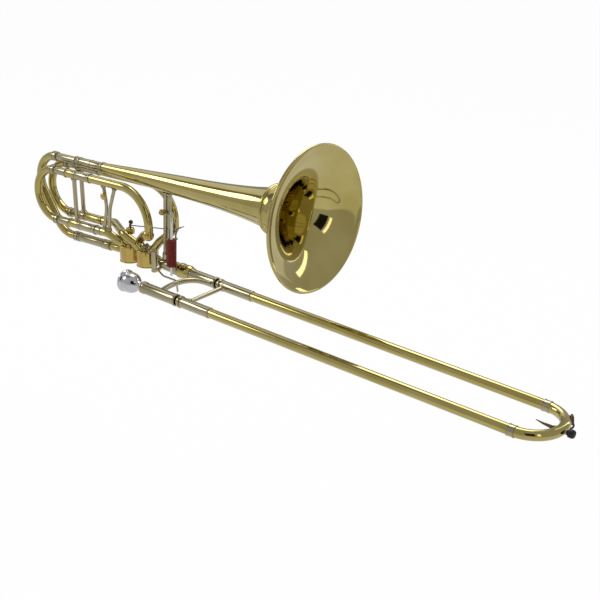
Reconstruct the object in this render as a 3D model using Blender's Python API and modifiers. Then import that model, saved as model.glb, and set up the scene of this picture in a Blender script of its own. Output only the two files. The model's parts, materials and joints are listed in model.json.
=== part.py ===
"""Bass trombone with two in-line drum valves, as an assembly of separate pieces.

Metres, +Z up. The bell and the hand slide point along +X, and the mouthpiece tube lies
on the -Y side. The origin is on the upper slide tube's axis, under the vertical hand
brace. The bell section is tipped up a few degrees from the slide, so its pieces hang
from one empty.
"""
import math

import bmesh
import bpy
from mathutils import Matrix, Vector

MM = 0.001


def mm(*points):
    """Points or profile corners given in millimetres, in metres."""
    return [tuple(value * MM for value in point) for point in points]


FIT = 0.3 * MM            # clearance between neighbouring pieces
SEAT = 0.9 * MM           # height of a slanted tube's mitred end over the drum's top
STEPS = 14                # sides of a turned piece
BELL_STEPS = 24           # sides of the bell
TUBE_SIDES = 3            # bevel resolution of a bent tube, 10 sides
BEND_STEP = 20.0          # degrees turned by one piece of a bend

# Hand slide
SLIDE_GAP = 98.6 * MM     # between the axes of the two slide tubes
OUTER_R = 8.2 * MM
WALL = 0.6 * MM
INNER_R = 7.1 * MM
STOCKING_R = 7.35 * MM
STOCKING_LENGTH = 115 * MM
OUTER_START_X = 128 * MM
OUTER_END_X = 764.2 * MM
INNER_END_X = OUTER_END_X - 16.2 * MM
BOW_CENTRE_X = OUTER_END_X + 1.8 * MM
SLEEVE_R = 9.2 * MM
SLEEVE_END_X = 194 * MM
LOCK_RING_R = 10.4 * MM
LOCK_RING_LENGTH = 5 * MM
LOCK_SCREW_R = 1.6 * MM
LOCK_SCREW_HEIGHT = 2.2 * MM
BARREL_R = 9.9 * MM
BARREL_END_X = 122 * MM
FAR_BARREL_X = 64 * MM
NEAR_BARREL_X = 47 * MM
BOW_FERRULE_X = OUTER_END_X - 8.9 * MM
BOW_FERRULE_LENGTH = 11 * MM
BRACE_R = 3.75 * MM
OUTER_BRACE_X = 141 * MM
INNER_BRACE_X = (76 * MM, 112 * MM)
INNER_BRACE_RISE = 21 * MM
INNER_BRACE_BEND = 86 * MM
BUMPER_R = 6.5 * MM
BUMPER_X = OUTER_END_X + 61.8 * MM
BUMPER_LENGTH = 11.2 * MM
BUMPER_SOCKET = 7 * MM
BUMPER_EDGE = 1.6 * MM
BUMPER_FLANGE_R = 4.4 * MM
BUMPER_STEM_R = 2.6 * MM

# Water key
KEY_PIVOT = Vector((OUTER_END_X + 38.8 * MM, -19.5 * MM, -12.8 * MM))
KEY_WIRE_R = 1.5 * MM
KEY_PIN_R = 1.0 * MM
KEY_CUP_R = 8.3 * MM
KEY_CUP_DEPTH = 2.2 * MM
KEY_CORK_DEPTH = 1.5 * MM
KEY_TAIL = mm((-34, -19.5, 8.5), (-18, -10, -1, 8), (-6, -1.2, -0.8, 3), (-1.2, 0, -0.5))
KEY_NOSE = mm((1.2, 0, -0.4), (6, 1, -0.6, 3), (12.4, 11.7, -0.6, 4), (8.3, 12.5, 8))
KEY_CUP_ANGLE = math.radians(43)

# Mouthpiece, its receiver and the joint with the bell section
MOUTHPIECE_RIM_R = 19.5 * MM
SHANK_R = 5.6 * MM
SHANK_END_X = 66 * MM
RECEIVER_X = 42 * MM
NECK_RECEIVER_X = -7 * MM
NECK_RECEIVER_LENGTH = 42 * MM
NECK_RECEIVER_R = 11.5 * MM
LOCK_NUT_X = 36 * MM
LOCK_NUT_LENGTH = 27 * MM
LOCK_NUT_R = 13.4 * MM
TENON_R = 8.4 * MM
TENON_START_X = 1 * MM

# Bell section: its own frame is tipped up about the pivot
BELL_TILT = 3.6
BELL_PIVOT_X = -89 * MM
BELL_HEIGHT = 145.7 * MM
BELL_RIM_X = 430 * MM
BELL_RIM_R = 120.65 * MM
BELL_BEAD_R = 2.2 * MM
BELL_WALL = 0.9 * MM
FLARE_OFFSET = 16 * MM    # Bessel horn: radius falls as (distance + offset) to a power
FLARE_POWER = 0.642
FLARE_LENGTH = 300 * MM
RING_BACK = 84 * MM       # neck ring, behind the rim
RING_LENGTH = 10 * MM
RING_HEIGHT = 4 * MM
TAIL_X = -53 * MM
TUBE_R = 7.5 * MM
LEG_R = 7.1 * MM
LEG_SLEEVE_R = 8.6 * MM
COLLAR_R = 9.6 * MM
COLLAR_LENGTH = 4 * MM

# Main tuning slide
MAIN_BOTTOM_CORNER_X = -173.4 * MM
MAIN_TOP_BEND = BELL_HEIGHT * 0.3226
MAIN_BOTTOM_BEND = BELL_HEIGHT * 0.2917
MAIN_TOP_LEG_X = -180 * MM
MAIN_TOP_CORNER_X = MAIN_TOP_LEG_X - 0.5848 * BELL_HEIGHT
MAIN_TOP_SLEEVE_X = -126 * MM
MAIN_BOTTOM_SLEEVE_X = -130 * MM
MAIN_BOTTOM_SLEEVE_END_X = -46 * MM
MAIN_TOP_LEG_LENGTH = 108 * MM
MAIN_BOTTOM_LEG_LENGTH = 68 * MM

# Drum valves
DRUM_R = 19.75 * MM
DRUM_WALL = 1.6 * MM
DRUM_TOP = 14.2 * MM
DRUM_BOTTOM = -14.5 * MM
DRUM_X = (3 * MM, 45 * MM)
CAP_BEAD_R = 20.5 * MM
CAP_DEPTH = 1.7 * MM
SPINDLE_R = 1.6 * MM
SPINDLE_TOP = (46.5 * MM, 24.5 * MM)
ARM_HEIGHT = (43 * MM, 21 * MM)
ARM_THICKNESS = 2.6 * MM
ARM_LENGTH = (8 * MM, 6 * MM)
ARM_REST = (133.0, -128.0)
ARM_HUB_R = 3.5 * MM
BORE_R = 6.7 * MM
ROTOR_CLEARANCE = 0.35 * MM
LINK_BALL_R = 1.8 * MM
LINK_LIFT = 0.7 * MM       # from a stop arm up to the ball above it
PAST_PORT = 9 * MM        # how far a slanted tube's route runs on below its port
NEAR_FRONT_PORT = Vector((11.5 * MM, 9.2 * MM, DRUM_TOP))
NEAR_REAR_PORT = Vector((-4.6 * MM, -9.3 * MM, DRUM_TOP))
FAR_FRONT_PORT = Vector((55 * MM, 7.5 * MM, DRUM_TOP))
FAR_REAR_PORT = Vector((36.2 * MM, -9.3 * MM, DRUM_TOP))
NEAR_FRONT_TURN = Vector((41 * MM, -2 * MM, 39 * MM))
NEAR_REAR_TURN = Vector((-8 * MM, -14 * MM, 20.5 * MM))
FAR_FRONT_TURN = Vector((64 * MM, 11.5 * MM, 27 * MM))
FAR_REAR_TURN = Vector((28.6 * MM, -14.2 * MM, 26 * MM))

# Attachment tubing: one wrap on each side of the bell
LEG_OVERLAP = 44 * MM     # slide leg inside its sleeve
WRAP_Y = 22 * MM
NEAR_TOP_Z = BELL_HEIGHT - 17.5 * MM
NEAR_BOTTOM_Z = 33.8 * MM
NEAR_BOW_X = -163 * MM
NEAR_SLEEVE_X = -130 * MM
NEAR_TOP_SLEEVE_END_X = -66 * MM
NEAR_BOTTOM_SLEEVE_END_X = -61 * MM
FAR_TOP_Z = BELL_HEIGHT - 17.7 * MM
FAR_BOTTOM_Z = 33 * MM
FAR_BOW_X = -174.5 * MM
FAR_SLEEVE_X = -148 * MM
FAR_SLEEVE_END_X = -89 * MM
NEAR_SLIDE_BRACE_X = -110 * MM
FAR_SLIDE_BRACE_X = -140 * MM
SLIDE_BRACE_R = 3.8 * MM
NEAR_FRONT_X = 74 * MM
NEAR_FRONT_FOOT_Z = 52 * MM
NEAR_FRONT_BEND = 0.8268 * (NEAR_TOP_Z - NEAR_FRONT_FOOT_Z)
NEAR_FRONT_FOOT_BEND = 12 * MM
NEAR_FRONT_TURN_BEND = 18 * MM
NEAR_REAR_X = -30 * MM
NEAR_REAR_BEND = 17 * MM
NEAR_REAR_TURN_BEND = 9 * MM
FAR_FRONT_X = 94.5 * MM
FAR_FRONT_FOOT_Z = 54 * MM
FAR_FRONT_BEND = 0.7568 * (FAR_TOP_Z - FAR_FRONT_FOOT_Z)
FAR_FRONT_FOOT_BEND = 14 * MM
FAR_FRONT_TURN_BEND = 11 * MM
FAR_REAR_STOPS = (Vector((-81 * MM, WRAP_Y, FAR_BOTTOM_Z)), Vector((-58 * MM, WRAP_Y, 36.5 * MM)),
                  Vector((0, -13.5 * MM, 37 * MM)))
FAR_REAR_BENDS = (30 * MM, 22 * MM, 22 * MM)
FAR_REAR_TURN_BEND = 10 * MM
POST_R = 3.4 * MM
POST_FOOT_X = (-38 * MM, -26 * MM)
POST_HEAD_X = (-33 * MM, -5 * MM)
POST_SCREW_DROP = 24.2 * MM
POST_SCREW_R = 2.6 * MM
POST_SCREW_LENGTH = 3.4 * MM

# Hand brace, rest and levers
HAND_BRACE_R = 3.75 * MM
HAND_BRACE_X = (0.0, 9.6 * MM)
HAND_BRACE_TOP = BELL_HEIGHT - 11 * MM
HAND_BRACE_FOOT = 10.7 * MM
FOOT_R = 5.4 * MM
FOOT_HEIGHT = 12 * MM
CLAMP_Z = 98 * MM
CLAMP_LENGTH = 7 * MM
CLAMP_R = 5.4 * MM
CLAMP_SCREW_R = 3.2 * MM
GRIP_XY = (32.5 * MM, -19 * MM)
GRIP_R = 8.8 * MM
GRIP_BOTTOM = 11.6 * MM
GRIP_TOP = 60 * MM
GRIP_ROD_R = 1.9 * MM
GRIP_ROD_BOTTOM = -6 * MM
EYE_LIFT = 7 * MM
THUMB_PIVOT = Vector((15 * MM, 9 * MM, 49 * MM))
THUMB_LINK = Vector((3 * MM, -3.5 * MM, 19 * MM))
THUMB_PIN_R = 1.0 * MM
THUMB_STEM = mm((0.3, 0, 1.8), (3, 0, 19, 10), (11, 0, 24))
FINGER_PIVOT = Vector((-11.5 * MM, -16.5 * MM, 9 * MM))
FINGER_BARREL_R = 5.3 * MM
FINGER_BARREL_LENGTH = 37 * MM
FINGER_PIN_R = 2.0 * MM
FINGER_ARM_LENGTH = 12 * MM
FINGER_ARM_REST = -108.0
FINGER_ARM = mm((3, 0, -15.3), (8, 0.5, -15.6, 6), (18, 4, -25.5, 10), (45, 9, -28, 6), (48, 9, -49))
FINGER_ARM_R = 1.7 * MM
ROD_R = 1.0 * MM

LACQUER = (0.62, 0.46, 0.16, 1.0)
AMBER = (0.66, 0.42, 0.13, 1.0)
NICKEL = (0.60, 0.57, 0.48, 1.0)
SILVER = (0.86, 0.86, 0.88, 1.0)
STEEL = (0.42, 0.40, 0.36, 1.0)
DARK = (0.10, 0.08, 0.06, 1.0)
RED = (0.17, 0.012, 0.018, 1.0)
BLACK = (0.012, 0.012, 0.013, 1.0)
CORK = (0.45, 0.28, 0.15, 1.0)


# ---------------------------------------------------------------- scene helpers
def clear_scene():
    for obj in list(bpy.data.objects):
        bpy.data.objects.remove(obj, do_unlink=True)


def new_collection(name):
    collection = bpy.data.collections.new(name)
    bpy.context.scene.collection.children.link(collection)
    return collection


def finish(obj, color, roughness, metallic):
    """Gives the object its own Principled material."""
    material = bpy.data.materials.new(obj.name)
    material.use_nodes = True
    shader = material.node_tree.nodes["Principled BSDF"]
    shader.inputs["Base Color"].default_value = color
    shader.inputs["Roughness"].default_value = roughness
    shader.inputs["Metallic"].default_value = metallic
    material.diffuse_color = color
    obj.data.materials.clear()
    obj.data.materials.append(material)
    for polygon in obj.data.polygons:
        polygon.material_index = 0


def linked(name, data, collection=None):
    obj = bpy.data.objects.new(name, data)
    (collection or PARTS).objects.link(obj)
    return obj


def empty(name, location=(0, 0, 0), parent=None, tilt=0.0):
    obj = linked(name, None)
    obj.empty_display_size = 0.02
    obj.location = location
    obj.rotation_euler = (0, math.radians(tilt), 0)
    obj.parent = parent
    return obj


def baked(obj):
    """The evaluated mesh of a helper, in its parent's frame; the helper goes."""
    bpy.context.view_layer.update()
    graph = bpy.context.evaluated_depsgraph_get()
    mesh = bpy.data.meshes.new_from_object(obj.evaluated_get(graph))
    mesh.transform(obj.matrix_world)
    bpy.data.objects.remove(obj, do_unlink=True)
    form = bmesh.new()
    form.from_mesh(mesh)
    bmesh.ops.remove_doubles(form, verts=form.verts, dist=0.00001)
    form.to_mesh(mesh)
    form.free()
    return mesh


def node(name, shapes, look, parent=None, origin=(0, 0, 0)):
    """One named piece from one or more shapes, which stay separate closed bodies."""
    form = bmesh.new()
    for shape in shapes:
        form.from_mesh(shape)
    bmesh.ops.translate(form, verts=form.verts, vec=-Vector(origin))
    mesh = bpy.data.meshes.new(name)
    form.to_mesh(mesh)
    form.free()
    mesh.shade_smooth()
    mesh.set_sharp_from_angle(angle=math.radians(35))
    obj = linked(name, mesh)
    obj.location = origin
    obj.parent = parent
    finish(obj, *look)
    return obj


def cut(name, shape, cutter, operation="DIFFERENCE"):
    """A shape with another taken from it or joined to it, as a new mesh."""
    tool = linked(name + "_cutter", cutter, CUTTERS)
    tool.hide_render = True
    tool.display_type = "WIRE"
    body = linked(name + "_body", shape, CUTTERS)
    modifier = body.modifiers.new("cut", "BOOLEAN")
    modifier.operation = operation
    modifier.object = tool
    modifier.solver = "EXACT"
    result = baked(body)
    bpy.data.objects.remove(tool, do_unlink=True)
    return result


def united(*shapes):
    """Overlapping shapes as one closed body."""
    whole = shapes[0]
    for shape in shapes[1:]:
        whole = cut("joint", whole, shape, "UNION")
    return whole


# ---------------------------------------------------------------- shapes
def along(direction):
    """Rotation that turns +Z onto the direction."""
    return Vector(direction).to_track_quat("Z", "Y").to_euler()


def turned(profile, at=(0, 0, 0), direction=(1, 0, 0), closed=False, steps=STEPS):
    """A profile of (radius, distance along the direction), turned about its axis.

    It runs down the outer side from the far end. A closed profile makes a ring.
    """
    mesh = bpy.data.meshes.new("profile")
    points = [(radius, 0, height) for radius, height in profile]
    edges = [(i, i + 1) for i in range(len(points) - 1)]
    if closed:
        edges.append((len(points) - 1, 0))
    mesh.from_pydata(points, edges, [])
    obj = linked("profile", mesh, CUTTERS)
    obj.location = at
    obj.rotation_euler = along(direction)
    screw = obj.modifiers.new("turn", "SCREW")
    screw.axis = "Z"
    screw.angle = math.tau
    screw.steps = steps
    screw.render_steps = steps
    screw.use_merge_vertices = True
    screw.merge_threshold = 0.00001
    return baked(obj)


def ring(inner, outer, start, length, at=(0, 0, 0), direction=(1, 0, 0), steps=STEPS):
    end = start + length
    profile = [(outer, end), (outer, start), (inner, start), (inner, end)]
    return turned(profile, at, direction, True, steps)


def rod(radius, start, end, steps=STEPS):
    """A solid round bar between two points."""
    start, end = Vector(start), Vector(end)
    length = (end - start).length
    profile = [(0, length), (radius, length), (radius, 0), (0, 0)]
    return turned(profile, start, end - start, False, steps)


def ball(radius, at, segments=10):
    form = bmesh.new()
    bmesh.ops.create_uvsphere(form, u_segments=segments, v_segments=segments // 2 + 1, radius=radius)
    bmesh.ops.translate(form, verts=form.verts, vec=Vector(at))
    mesh = bpy.data.meshes.new("ball")
    form.to_mesh(mesh)
    form.free()
    return mesh


def block(size, at):
    form = bmesh.new()
    bmesh.ops.create_cube(form, size=1.0)
    bmesh.ops.scale(form, verts=form.verts, vec=Vector(size))
    bmesh.ops.translate(form, verts=form.verts, vec=Vector(at))
    mesh = bpy.data.meshes.new("block")
    form.to_mesh(mesh)
    form.free()
    return mesh


def bend(before, corner, after, radius):
    """Points of the arc of this radius that rounds a corner."""
    back = (before - corner).normalized()
    ahead = (after - corner).normalized()
    turn = math.pi - back.angle(ahead)
    reach = radius * math.tan(turn / 2)
    start = corner + back * reach
    middle = start + (ahead + back * math.cos(turn)).normalized() * radius
    spoke = start - middle
    axis = back.cross(ahead).normalized()
    count = max(2, round(math.degrees(turn) / BEND_STEP))
    return [middle + Matrix.Rotation(-turn * i / count, 3, axis) @ spoke for i in range(count + 1)]


def path(*stops):
    """A route through (x, y, z, bend radius) corners, the ends given as (x, y, z)."""
    points = [Vector(stops[0])]
    for before, corner, after in zip(stops, stops[1:], stops[2:]):
        points += bend(Vector(before[:3]), Vector(corner[:3]), Vector(after[:3]), corner[3])
    points.append(Vector(stops[-1]))
    return [point for i, point in enumerate(points) if i == 0 or (point - points[i - 1]).length > 0.1 * MM]


def swept(points, radius, capped, sides=TUBE_SIDES):
    curve = bpy.data.curves.new("route", "CURVE")
    curve.dimensions = "3D"
    curve.bevel_depth = radius
    curve.bevel_resolution = sides
    curve.use_fill_caps = capped
    spline = curve.splines.new("POLY")
    spline.points.add(len(points) - 1)
    for slot, point in zip(spline.points, points):
        slot.co = (*point, 1.0)
    return linked("route", curve, CUTTERS)


def tube(points, radius=TUBE_R, wall=WALL, floor=None):
    """A hollow tube along a route. A floor mitres it at that height."""
    mesh = baked(swept(points, radius, False))
    if floor is not None:
        form = bmesh.new()
        form.from_mesh(mesh)
        everything = form.verts[:] + form.edges[:] + form.faces[:]
        level = (0, 0, floor)
        bmesh.ops.bisect_plane(form, geom=everything, plane_co=level, plane_no=(0, 0, -1), clear_outer=True)
        bmesh.ops.remove_doubles(form, verts=form.verts, dist=0.0002)
        form.to_mesh(mesh)
        form.free()
    obj = linked("shell", mesh, CUTTERS)
    shell = obj.modifiers.new("wall", "SOLIDIFY")
    shell.thickness = wall
    shell.offset = -1
    return baked(obj)


def wire(points, radius, sides=2):
    """A solid bent bar."""
    return baked(swept(points, radius, True, sides))


def outline(points, thickness, at=(0, 0, 0), hole=0.0):
    """A flat plate with this outline in XY, and a round hole at its own origin."""
    curve = bpy.data.curves.new("plate", "CURVE")
    curve.dimensions = "2D"
    curve.fill_mode = "BOTH"
    curve.extrude = thickness / 2
    loops = [points]
    if hole:
        loops.append([(hole * math.cos(a), hole * math.sin(a)) for a in angles(12)])
    for loop in loops:
        spline = curve.splines.new("POLY")
        spline.points.add(len(loop) - 1)
        for slot, point in zip(spline.points, loop):
            slot.co = (point[0], point[1], 0, 1)
        spline.use_cyclic_u = True
    obj = linked("plate", curve, CUTTERS)
    obj.location = at
    return baked(obj)


def angles(count, start=0.0, span=math.tau):
    return [start + span * i / count for i in range(count)]


def teardrop(hub, tip, length, heading):
    """Outline of an arm: a round hub and a round tip at a length along a heading in degrees."""
    lean = math.asin((hub - tip) / length)
    heading = math.radians(heading)
    side = math.pi / 2 - lean
    hub_arc = [heading + side + (math.tau - 2 * side) * i / 8 for i in range(9)]
    tip_arc = [heading - side + 2 * side * i / 5 for i in range(6)]
    centre = (length * math.cos(heading), length * math.sin(heading))
    points = [(hub * math.cos(a), hub * math.sin(a)) for a in hub_arc]
    return points + [(centre[0] + tip * math.cos(a), centre[1] + tip * math.sin(a)) for a in tip_arc]


# ---------------------------------------------------------------- looks
BRASS_LOOK = (LACQUER, 0.12, 1.0)
AMBER_LOOK = (AMBER, 0.28, 1.0)
NICKEL_LOOK = (NICKEL, 0.2, 1.0)
SILVER_LOOK = (SILVER, 0.06, 1.0)
STEEL_LOOK = (STEEL, 0.3, 1.0)
DARK_LOOK = (DARK, 0.4, 1.0)
RED_LOOK = (RED, 0.45, 0.0)
BLACK_LOOK = (BLACK, 0.5, 0.0)
CORK_LOOK = (CORK, 0.8, 0.0)

NEAR_Y = -SLIDE_GAP
SLIDE_AXES = ((0, 0, 0), (0, NEAR_Y, 0))


# ---------------------------------------------------------------- hand slide, outer
def slide_bow():
    radius = SLIDE_GAP / 2
    turn = BOW_CENTRE_X + radius
    start = OUTER_END_X + FIT
    bend_r = radius - 0.01 * MM
    route = path((start, 0, 0), (turn, 0, 0, bend_r), (turn, NEAR_Y, 0, bend_r), (start, NEAR_Y, 0))
    return tube(route, OUTER_R, WALL)


def outer_slide():
    hold = empty("hand_slide")
    length = OUTER_END_X - OUTER_START_X
    for name, at in (("far", SLIDE_AXES[0]), ("near", SLIDE_AXES[1])):
        pipe = ring(OUTER_R - WALL, OUTER_R, OUTER_START_X, length, at)
        node("outer_tube_" + name, [pipe], BRASS_LOOK, hold)
        collar = ring(OUTER_R + FIT, SLEEVE_R, BOW_FERRULE_X, BOW_FERRULE_LENGTH, at)
        node("bow_ferrule_" + name, [collar], NICKEL_LOOK, hold)
    ring_end = OUTER_START_X + LOCK_RING_LENGTH
    bore = OUTER_R + FIT
    profile = [(SLEEVE_R, SLEEVE_END_X), (SLEEVE_R, ring_end), (LOCK_RING_R, ring_end),
               (LOCK_RING_R, OUTER_START_X), (bore, OUTER_START_X), (bore, SLEEVE_END_X)]
    far = turned(profile, SLIDE_AXES[0], (1, 0, 0), True)
    near = ring(bore, SLEEVE_R, ring_end + FIT, SLEEVE_END_X - ring_end - FIT, SLIDE_AXES[1])
    inset = bore + 0.1 * MM
    brace = rod(BRACE_R, (OUTER_BRACE_X, -inset, 0), (OUTER_BRACE_X, NEAR_Y + inset, 0))
    node("outer_brace", [united(far, near, brace)], NICKEL_LOOK, hold)
    slide_lock(hold, bore)
    node("slide_bow", [slide_bow()], BRASS_LOOK, hold)
    bumper(hold)
    water_key(hold)


def slide_lock(hold, bore):
    """A ring that turns on the near tube to hold the slide closed, with its screw's head."""
    half = LOCK_RING_LENGTH / 2
    turn = empty("slide_lock_axis", (OUTER_START_X + half, NEAR_Y, 0), hold)
    node("slide_lock_ring", [ring(bore, LOCK_RING_R, -half, LOCK_RING_LENGTH)], NICKEL_LOOK, turn)
    seat = LOCK_RING_R + FIT
    top = seat + LOCK_SCREW_HEIGHT
    profile = [(0, top), (LOCK_SCREW_R, top), (LOCK_SCREW_R, seat), (0, seat)]
    node("lock_ring_screw", [turned(profile, (0, 0, 0), (0, -0.6, 0.8), False, 8)], AMBER_LOOK, turn)


def bumper(hold):
    axis = (0, NEAR_Y / 2, 0)
    stem_x = BOW_CENTRE_X + SLIDE_GAP / 2 + OUTER_R
    stem_end = BUMPER_X + BUMPER_SOCKET
    flange = stem_x + 1.5 * MM
    stem = [(0, stem_end), (BUMPER_STEM_R, stem_end), (BUMPER_STEM_R, flange), (BUMPER_FLANGE_R, flange),
            (BUMPER_FLANGE_R, stem_x + FIT), (0, stem_x + FIT)]
    node("bumper_stem", [turned(stem, axis)], NICKEL_LOOK, hold)
    end = BUMPER_X + BUMPER_LENGTH
    edge = BUMPER_EDGE
    hole = BUMPER_STEM_R + FIT
    tip = [(0, end), (BUMPER_R - edge, end), (BUMPER_R, end - edge), (BUMPER_R, BUMPER_X + edge),
           (BUMPER_R - edge, BUMPER_X), (hole, BUMPER_X), (hole, stem_end + FIT), (0, stem_end + FIT)]
    node("bumper_tip", [turned(tip, axis)], BLACK_LOOK, hold)


def water_key(hold):
    """A lever under the bow with a corked cup on the drain, on a pin between two posts."""
    pivot = KEY_PIVOT
    post_z = -OUTER_R - FIT
    gap = KEY_WIRE_R + 2 * FIT
    thick = 1.6 * MM
    width = 2.8 * MM
    reach = gap + thick
    plate_low = post_z - 1.2 * MM
    saddle = block((width, 2 * reach, post_z - plate_low), (pivot.x, pivot.y, (post_z + plate_low) / 2))
    for side in (-1, 1):
        size = (width, thick, plate_low - pivot.z + 2.2 * MM + 0.4 * MM)
        at = (pivot.x, pivot.y + side * (gap + thick / 2), plate_low + 0.4 * MM - size[2] / 2)
        saddle = united(saddle, block(size, at))
    half = Vector((0, reach + 0.4 * MM, 0))
    pin = rod(KEY_PIN_R, pivot - half, pivot + half, 10)
    node("water_key_saddle", [united(saddle, pin)], NICKEL_LOOK, hold)
    hinge = empty("water_key_axis", pivot, hold)
    arm = wire(path(*KEY_TAIL), KEY_WIRE_R)
    knuckle = rod(2.4 * MM, (0, -KEY_WIRE_R, 0), (0, KEY_WIRE_R, 0), 12)
    nose = wire(path(*KEY_NOSE), KEY_WIRE_R)
    heading = Vector((math.cos(KEY_CUP_ANGLE), math.sin(KEY_CUP_ANGLE), 0))
    centre = Vector((BOW_CENTRE_X, NEAR_Y / 2, -2 * MM)) - pivot
    face = SLIDE_GAP / 2 + OUTER_R + FIT
    back = face + KEY_CORK_DEPTH + FIT
    cup = rod(KEY_CUP_R, centre + heading * back, centre + heading * (back + KEY_CUP_DEPTH), 12)
    lever = united(knuckle, arm, nose, cup)
    bore = rod(KEY_PIN_R + FIT, (0, -6 * MM, 0), (0, 6 * MM, 0), 10)
    node("water_key_lever", [cut("lever", lever, bore)], DARK_LOOK, hinge)
    cork_r = KEY_CUP_R - 1.5 * MM
    cork = rod(cork_r, centre + heading * (face + 0.1 * MM), centre + heading * (face + KEY_CORK_DEPTH), 12)
    node("water_key_cork", [cork], CORK_LOOK, hinge)


# ---------------------------------------------------------------- hand slide, inner
def inner_slide():
    neck = INNER_END_X - STOCKING_LENGTH
    inner = INNER_R - WALL
    starts = (FAR_BARREL_X - 14 * MM, SHANK_END_X + 4 * MM)
    for name, at, start in zip(("far", "near"), SLIDE_AXES, starts):
        profile = [(STOCKING_R, INNER_END_X), (STOCKING_R, neck), (INNER_R, neck - 1 * MM), (INNER_R, start),
                   (inner, start), (inner, INNER_END_X)]
        node("inner_tube_" + name, [turned(profile, at, (1, 0, 0), True)], SILVER_LOOK)
    bore = INNER_R + FIT
    tenon = [(TENON_R, FAR_BARREL_X), (TENON_R, TENON_START_X), (bore, TENON_START_X)]
    node("far_barrel", [barrel(FAR_BARREL_X, tenon, SLIDE_AXES[0])], NICKEL_LOOK)
    lip = BARREL_R - 0.4 * MM
    ridge = BARREL_R + 0.3 * MM
    shank_end = SHANK_END_X + 2 * MM
    receiver = [(lip, NEAR_BARREL_X), (lip, RECEIVER_X + 1.5 * MM), (ridge, RECEIVER_X + 1 * MM),
                (BARREL_R, RECEIVER_X), (SHANK_R + 0.9 * MM, RECEIVER_X), (SHANK_R + 0.8 * MM, shank_end),
                (bore, shank_end)]
    node("near_barrel", [barrel(NEAR_BARREL_X, receiver, SLIDE_AXES[1])], NICKEL_LOOK)
    node("inner_brace", [inner_brace()], NICKEL_LOOK)
    mouthpiece()


def inner_brace():
    """A low arch from barrel to barrel, its ends cut to the barrels."""
    near_x, far_x = INNER_BRACE_X
    near = Vector((near_x, NEAR_Y + BARREL_R, 0))
    far = Vector((far_x, -BARREL_R, 0))
    crown = (near + far) / 2 + Vector((0, 0, INNER_BRACE_RISE))
    sunk = 6 * MM
    start = near + (near - crown).normalized() * sunk
    end = far + (far - crown).normalized() * sunk
    arch = wire(path(start, (*crown, INNER_BRACE_BEND), end), BRACE_R, 3)
    seat = BARREL_R + 0.2 * MM
    low, high = near_x - 20 * MM, far_x + 20 * MM
    for axis in SLIDE_AXES:
        shape = turned([(0, high), (seat, high), (seat, low), (0, low)], axis)
        arch = cut("brace", arch, shape)
    return arch


def barrel(start, tail, at):
    """A cork barrel that holds the inner tube in its bore and takes the outer tube at its mouth."""
    end = BARREL_END_X
    step = start + 32 * MM
    bore = INNER_R + FIT
    mouth = BARREL_R - 1.2 * MM
    lip = BARREL_R + 0.6 * MM
    ridge = BARREL_R + 0.5 * MM
    profile = [(lip, end), (lip, end - 4 * MM), (BARREL_R, end - 4.6 * MM), (BARREL_R, start + 3.6 * MM),
               (ridge, start + 3 * MM), (ridge, start), *tail, (bore, step), (mouth, step), (mouth, end)]
    return turned(profile, at, (1, 0, 0), True)


def mouthpiece():
    hold = empty("mouthpiece_pull", SLIDE_AXES[1])
    rim = MOUTHPIECE_RIM_R
    outside = [(SHANK_R - 0.2 * MM, SHANK_END_X), (SHANK_R + 0.4 * MM, RECEIVER_X - 1 * MM)]
    outside += mm((6.6, 36), (8.2, 31), (13, 27.5), (16, 24), (18.2, 17), (18.6, 11), (17.6, 6.5))
    outside += [(rim, 3.5 * MM), (rim, 0.5 * MM), (rim - 2 * MM, -1.6 * MM)]
    inside = [(rim - 5.6 * MM, -1.6 * MM), *mm((14, 1.5), (13.2, 10), (10, 20), (3.6, 29), (3.6, 33)),
              (SHANK_R - 1.2 * MM, SHANK_END_X)]
    node("mouthpiece", [turned(outside + inside, (0, 0, 0), (1, 0, 0), True, 18)], SILVER_LOOK, hold)


# ---------------------------------------------------------------- neck and slide joint
def neck_joint(tilt_frame):
    end = NECK_RECEIVER_X + NECK_RECEIVER_LENGTH
    slim = NECK_RECEIVER_R - 1.2 * MM
    bore = TENON_R + FIT
    flare = [(NECK_RECEIVER_R, end), (NECK_RECEIVER_R, end - 12 * MM), (slim, end - 14 * MM), (slim, 6 * MM),
             (9.4 * MM, NECK_RECEIVER_X), (7.9 * MM, NECK_RECEIVER_X), (7.9 * MM, 0), (bore, 0), (bore, end)]
    node("slide_receiver", [turned(flare, (0, 0, 0), (1, 0, 0), True)], NICKEL_LOOK)
    nut_end = LOCK_NUT_X + LOCK_NUT_LENGTH
    nut = [(LOCK_NUT_R - 2.4 * MM, nut_end), (LOCK_NUT_R, nut_end - 5 * MM),
           (LOCK_NUT_R, LOCK_NUT_X + 6 * MM), (LOCK_NUT_R - 1 * MM, LOCK_NUT_X),
           (bore, LOCK_NUT_X), (bore, nut_end)]
    node("bell_lock_nut", [turned(nut, (0, 0, 0), (1, 0, 0), True)], BRASS_LOOK)
    bpy.context.view_layer.update()
    port = tilt_frame.matrix_world @ Vector((DRUM_X[1] + DRUM_R - DRUM_WALL - 0.2 * MM, 0, 0))
    pipe = path(port, (-20 * MM, 0, 4.35 * MM, 18 * MM), (-9 * MM, 0, 0, 18 * MM), (-FIT - 1 * MM, 0, 0))
    node("neckpipe", [tube(pipe)], NICKEL_LOOK)


# ---------------------------------------------------------------- bell
def flare_radius(back):
    """Radius of the bell's outside at a distance behind the rim."""
    if back <= FLARE_LENGTH:
        return BELL_RIM_R * ((back + FLARE_OFFSET) / FLARE_OFFSET) ** -FLARE_POWER
    end = BELL_RIM_R * ((FLARE_LENGTH + FLARE_OFFSET) / FLARE_OFFSET) ** -FLARE_POWER
    share = (back - FLARE_LENGTH) / (BELL_RIM_X - TAIL_X - FLARE_LENGTH)
    return end + (LEG_SLEEVE_R - end) * share


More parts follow.
